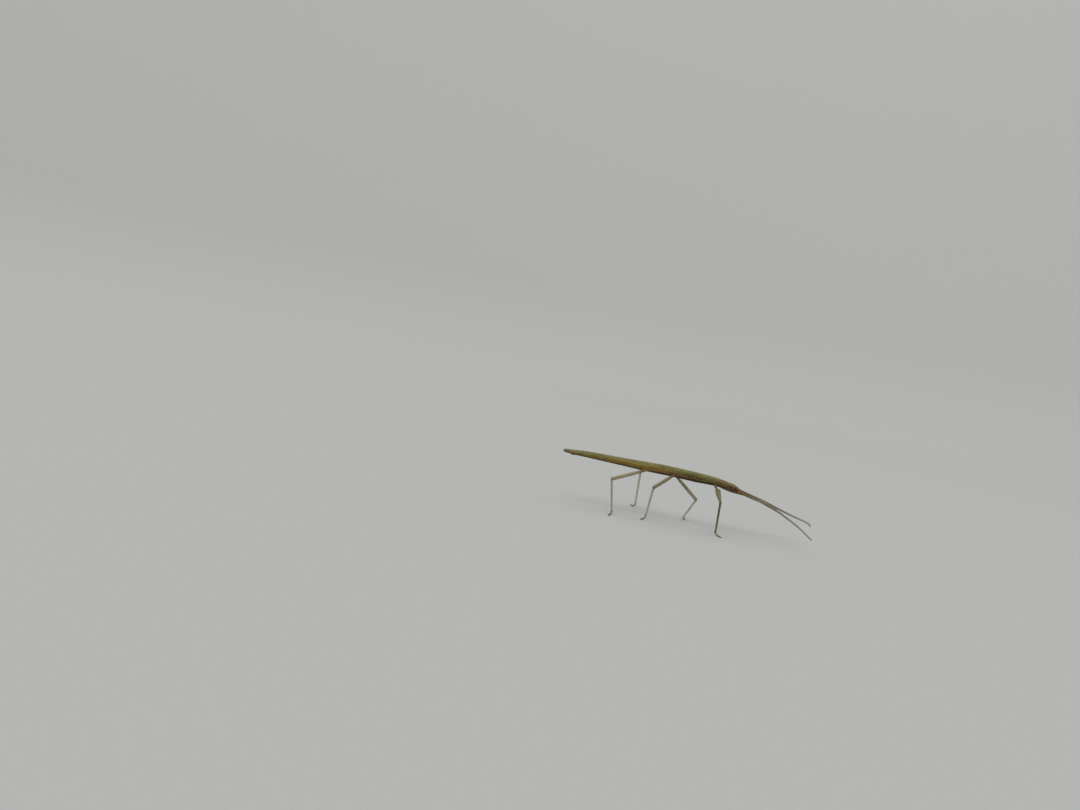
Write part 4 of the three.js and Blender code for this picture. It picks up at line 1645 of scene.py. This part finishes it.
class STICKINSECT_OT_cerci(bpy.types.Operator):
    """Model the pair of short tail feelers"""

    bl_idname = "stick_insect.cerci"
    bl_label = "Tail feelers"

    def execute(self, context):
        settings = context.scene.stick_insect_trunk
        shape = ((0.0, 0.9), (0.2, 1.0), (0.6, 0.95), (0.85, 0.78), (0.96, 0.5), (1.0, 0.25))
        rings = straight_rings(CERCUS_LENGTH, 0.1, 0.11, shape, 0.09)
        pattern = draw_shell("cercus_master", SLIM_SIDES, rings)
        round_off(pattern)
        granulate(pattern, size=0.08, height=0.008)
        note_lie(pattern, length=CERCUS_LENGTH)
        note_seams(pattern)
        colour = srgb(104, 98, 70)
        stops = ((0.0, colour, 0.8), (0.5, colour), (1.0, colour, 0.9))
        finish = limb_finish("cercus_skin", stops, settings.speckle, 7.0)
        for side, sign in SIDES.items():
            cercus = copy_of(pattern, f"tail_feeler_{side}")
            stand_at(cercus, Vector((-22.2, 0.31 * sign, 10.19)), (-0.85, 0.11 * sign, 0.03))
            finish_piece(cercus, finish, [f"cercus_{side}"])
        throw_away(pattern)
        return {"FINISHED"}


# ---------------------------------------------------------------- bristles


def spike_shape():
    """The places and faces of one thin spike of unit size, pointing up."""
    put_down()
    bpy.ops.mesh.primitive_cone_add(vertices=3, radius1=1.0, depth=1.0, location=(0.0, 0.0, 0.5))
    spike = fix_place(bpy.context.object)
    shape = places_of(spike).astype(float)
    faces = [tuple(face.vertices) for face in spike.data.polygons]
    throw_away(spike)
    return shape, faces


def bristle_coat(name, skins, settings, material):
    """Bristles on some skins, as one mesh of copies of one thin spike.

    Each skin comes with how many it bears, their length as a share of the full one, and the
    length of its bare root.
    """
    shape, faces = spike_shape()
    dice = random.Random(name)
    vertices, polygons, patches = [], [], []
    for row, (skin, count, share, bare) in enumerate(skins):
        places = places_of(skin)
        lie = np.empty_like(places)
        skin.data.attributes["lie"].data.foreach_get("vector", lie.ravel())
        # Taken by place and not by number, which can differ from run to run.
        order = np.lexsort((*places.T, *lie.T[::-1]))
        fitting = [int(index) for index in order if lie[index, 0] > bare]
        first_lie, last_lie = lie[:, 0].min(), lie[:, 0].max()
        # The skin's middle line, which tells a bristle which way is ahead.
        spots = np.linspace(first_lie, last_lie, STRETCHES + 1)
        middle = [np.interp(spots, lie[order, 0], column) for column in places[order].T]
        middle = np.stack(middle, axis=1)
        for index in dice.sample(fitting, min(count, len(fitting))):
            vertex = skin.data.vertices[index]
            reach = (lie[index, 0] - first_lie) / float(last_lie - first_lie)
            spot = min(STRETCHES - 1, int(reach * STRETCHES))
            ahead = Vector(middle[spot + 1] - middle[spot]).normalized()
            outward = Vector(vertex.normal)
            lean = (outward * dice.uniform(0.55, 0.9) + ahead * 0.75).normalized()
            across = lean.cross(outward).normalized()
            above = lean.cross(across)
            long = settings.length * share * dice.uniform(0.65, 1.25)
            thick = settings.radius * dice.uniform(0.75, 1.15)
            root = vertex.co - outward * thick
            polygons += [tuple(len(vertices) + corner for corner in face) for face in faces]
            for x, y, z in shape:
                place = root + (across * x + above * y) * thick + lean * (z * long)
                # None reaches below the floor.
                place.z = max(place.z, 0.0)
                vertices.append(place)
            # Its patch in the UV map, by its skin and by where it stands along and round it.
            turn = math.atan2(lie[index, 2], lie[index, 1]) / (2 * math.pi) + 0.5
            u = 0.01 + 0.98 * reach
            v = (row + 0.04 + 0.92 * turn) / len(skins)
            patches += [(u + PATCH * x, v + PATCH * y) for x, y, _ in shape]
    mesh = bpy.data.meshes.new(name)
    mesh.from_pydata(vertices, [], polygons)
    layer = mesh.uv_layers.new(name="OFBake")
    for loop in mesh.loops:
        layer.data[loop.index].uv = patches[loop.vertex_index]
    mesh.materials.append(material)
    coat = bpy.data.objects.new(name, mesh)
    bpy.context.scene.collection.objects.link(coat)
    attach(coat, "root")


class STICKINSECT_OT_bristles(bpy.types.Operator):
    """Set short bristles on the legs, the feelers, the tail and the palps"""

    bl_idname = "stick_insect.bristles"
    bl_label = "Bristles"

    def execute(self, context):
        settings = context.scene.stick_insect_bristles
        finish = bristle_finish(settings.colour)
        per_leg, per_feeler = settings.per_leg, settings.per_feeler
        leg_parts = (
            ("thigh", 0.3 * per_leg, 0.8, 0.5),
            ("shin", 0.45 * per_leg, 1.0, 0.3),
            ("foot", 0.25 * per_leg, 0.6, 0.1),
        )
        for name, slot, owners, parts in (
            ("bristles_legs", "shin", LEGS, leg_parts),
            ("bristles_feelers", "feeler", SIDES, (("feeler", per_feeler, 0.7, 0.4),)),
            ("bristles_tail", "trunk", SIDES, (("tail_feeler", 40, 0.8, 0.3),)),
            ("bristles_palps", "mouth", SIDES, (("jointed_palp", 30, 0.5, 0.3),)),
        ):
            skins = [
                (bpy.data.objects[f"{part}_{owner}"], round(count), share, bare)
                for owner in owners
                for part, count, share, bare in parts
            ]
            bristle_coat(name, skins, settings, finish)
        return {"FINISHED"}


# ---------------------------------------------------------------- stage


class STICKINSECT_OT_stage(bpy.types.Operator):
    """Set up the pale floor with its cove, the soft lights and the camera"""

    bl_idname = "stick_insect.stage"
    bl_label = "Studio"

    def execute(self, context):
        settings = context.scene.stick_insect_stage
        self.sweep(settings)
        self.lights(settings)
        self.camera(settings)
        return {"FINISHED"}

    def sweep(self, settings):
        """A round floor that curves up into a sloping wall, drawn from its top edge inwards."""
        flat = settings.floor_radius
        bend, slope = 0.6 * flat, math.radians(48)
        curve = []
        for step in range(9):
            angle = slope * (1 - step / 8)
            curve.append((flat + bend * math.sin(angle), bend * (1 - math.cos(angle))))
        rim = 3.0 * flat
        rim_height = curve[0][1] + (rim - curve[0][0]) * math.tan(slope)
        profile = [(rim, rim_height), *curve, (0.9 * flat, 0.0)]
        put_down()
        bpy.ops.mesh.primitive_circle_add(
            vertices=128, radius=rim, fill_type="NOTHING", location=(0.0, 0.0, rim_height)
        )
        floor = fix_place(bpy.context.object)
        floor.name = floor.data.name = "studio_floor"
        open_all()
        for before, (reach, height) in zip(profile, profile[1:]):
            step = (0.0, 0.0, height - before[1])
            bpy.ops.mesh.extrude_region_move(TRANSFORM_OT_translate={"value": step})
            scale = reach / before[0]
            bpy.ops.transform.resize(
                value=(scale, scale, 1.0), center_override=(0.0, 0.0, height)
            )
        bpy.ops.mesh.edge_face_add()
        close_up(inside=True)
        bpy.ops.object.shade_smooth()
        floor.data.materials.append(floor_finish(settings.floor))

    def lights(self, settings):
        for name, place, energy in (
            ("key_light", (-0.3, -0.5, 1.0), settings.key),
            ("fill_light", (0.7, 0.6, 0.8), settings.fill),
        ):
            put_down()
            bpy.ops.object.light_add(type="SUN", location=place)
            lamp = bpy.context.object
            lamp.name = lamp.data.name = name
            lamp.data.angle = settings.softness
            lamp.data.energy = energy
            lamp.rotation_euler = (-Vector(place)).to_track_quat("-Z", "Y").to_euler()
        world = bpy.data.worlds.new("Studio air")
        world.use_nodes = True
        air = world.node_tree.nodes["Background"]
        air.inputs["Color"].default_value = (1.0, 1.0, 1.0, 1.0)
        air.inputs["Strength"].default_value = settings.ambient
        bpy.context.scene.world = world
        bpy.context.scene.view_settings.view_transform = "Standard"

    def camera(self, settings):
        azimuth, elevation, roll = settings.azimuth, settings.elevation, settings.roll
        level = Vector((math.cos(azimuth), math.sin(azimuth), 0.0))
        ahead = UP.cross(level) * math.cos(elevation) - UP * math.sin(elevation)
        right = math.cos(roll) * level + math.sin(roll) * level.cross(ahead)
        turned = Matrix((right, right.cross(ahead), -ahead)).transposed().to_4x4()
        put_down()
        bpy.ops.object.camera_add(location=settings.camera_place)
        camera = bpy.context.object
        camera.name = camera.data.name = "studio_camera"
        camera.matrix_world = Matrix.Translation(settings.camera_place) @ turned
        camera.data.lens = settings.lens
        camera.data.sensor_width = 36.0
        camera.data.clip_start = 0.005
        camera.data.clip_end = 10.0
        bpy.context.scene.camera = camera


# ---------------------------------------------------------------- panel and registration

PIECES = (
    STICKINSECT_OT_trunk,
    STICKINSECT_OT_head,
    STICKINSECT_OT_eyes,
    STICKINSECT_OT_mouth,
    STICKINSECT_OT_feelers,
    STICKINSECT_OT_legs,
    STICKINSECT_OT_claws,
    STICKINSECT_OT_cerci,
    STICKINSECT_OT_bristles,
    STICKINSECT_OT_stage,
)
SETTINGS = {
    "stick_insect_trunk": TrunkSettings,
    "stick_insect_eyes": EyeSettings,
    "stick_insect_feelers": FeelerSettings,
    "stick_insect_legs": LegSettings,
    "stick_insect_bristles": BristleSettings,
    "stick_insect_stage": StageSettings,
}


class STICKINSECT_PT_pieces(bpy.types.Panel):
    """The insect's pieces and their settings"""

    bl_idname = "STICKINSECT_PT_pieces"
    bl_label = "Stick insect"
    bl_space_type = "VIEW_3D"
    bl_region_type = "UI"
    bl_category = "Stick insect"

    def draw(self, context):
        layout = self.layout
        layout.use_property_split = True
        for piece in PIECES:
            layout.operator(piece.bl_idname)
        for pointer, group in SETTINGS.items():
            box = layout.box()
            box.label(text=group.__doc__)
            for name in group.__annotations__:
                box.prop(getattr(context.scene, pointer), name)


def register():
    for made in (*SETTINGS.values(), *PIECES, STICKINSECT_PT_pieces):
        bpy.utils.register_class(made)
    for pointer, group in SETTINGS.items():
        setattr(bpy.types.Scene, pointer, bpy.props.PointerProperty(type=group))


def unregister():
    for pointer in SETTINGS:
        delattr(bpy.types.Scene, pointer)
    for made in reversed((*SETTINGS.values(), *PIECES, STICKINSECT_PT_pieces)):
        bpy.utils.unregister_class(made)


def main():
    register()
    bpy.ops.stick_insect.stage()
    bpy.ops.stick_insect.trunk()
    bpy.ops.stick_insect.head()
    bpy.ops.stick_insect.eyes()
    bpy.ops.stick_insect.mouth()
    bpy.ops.stick_insect.feelers()
    bpy.ops.stick_insect.legs()
    bpy.ops.stick_insect.claws()
    bpy.ops.stick_insect.cerci()
    bpy.ops.stick_insect.bristles()


if __name__ == "__main__":
    main()
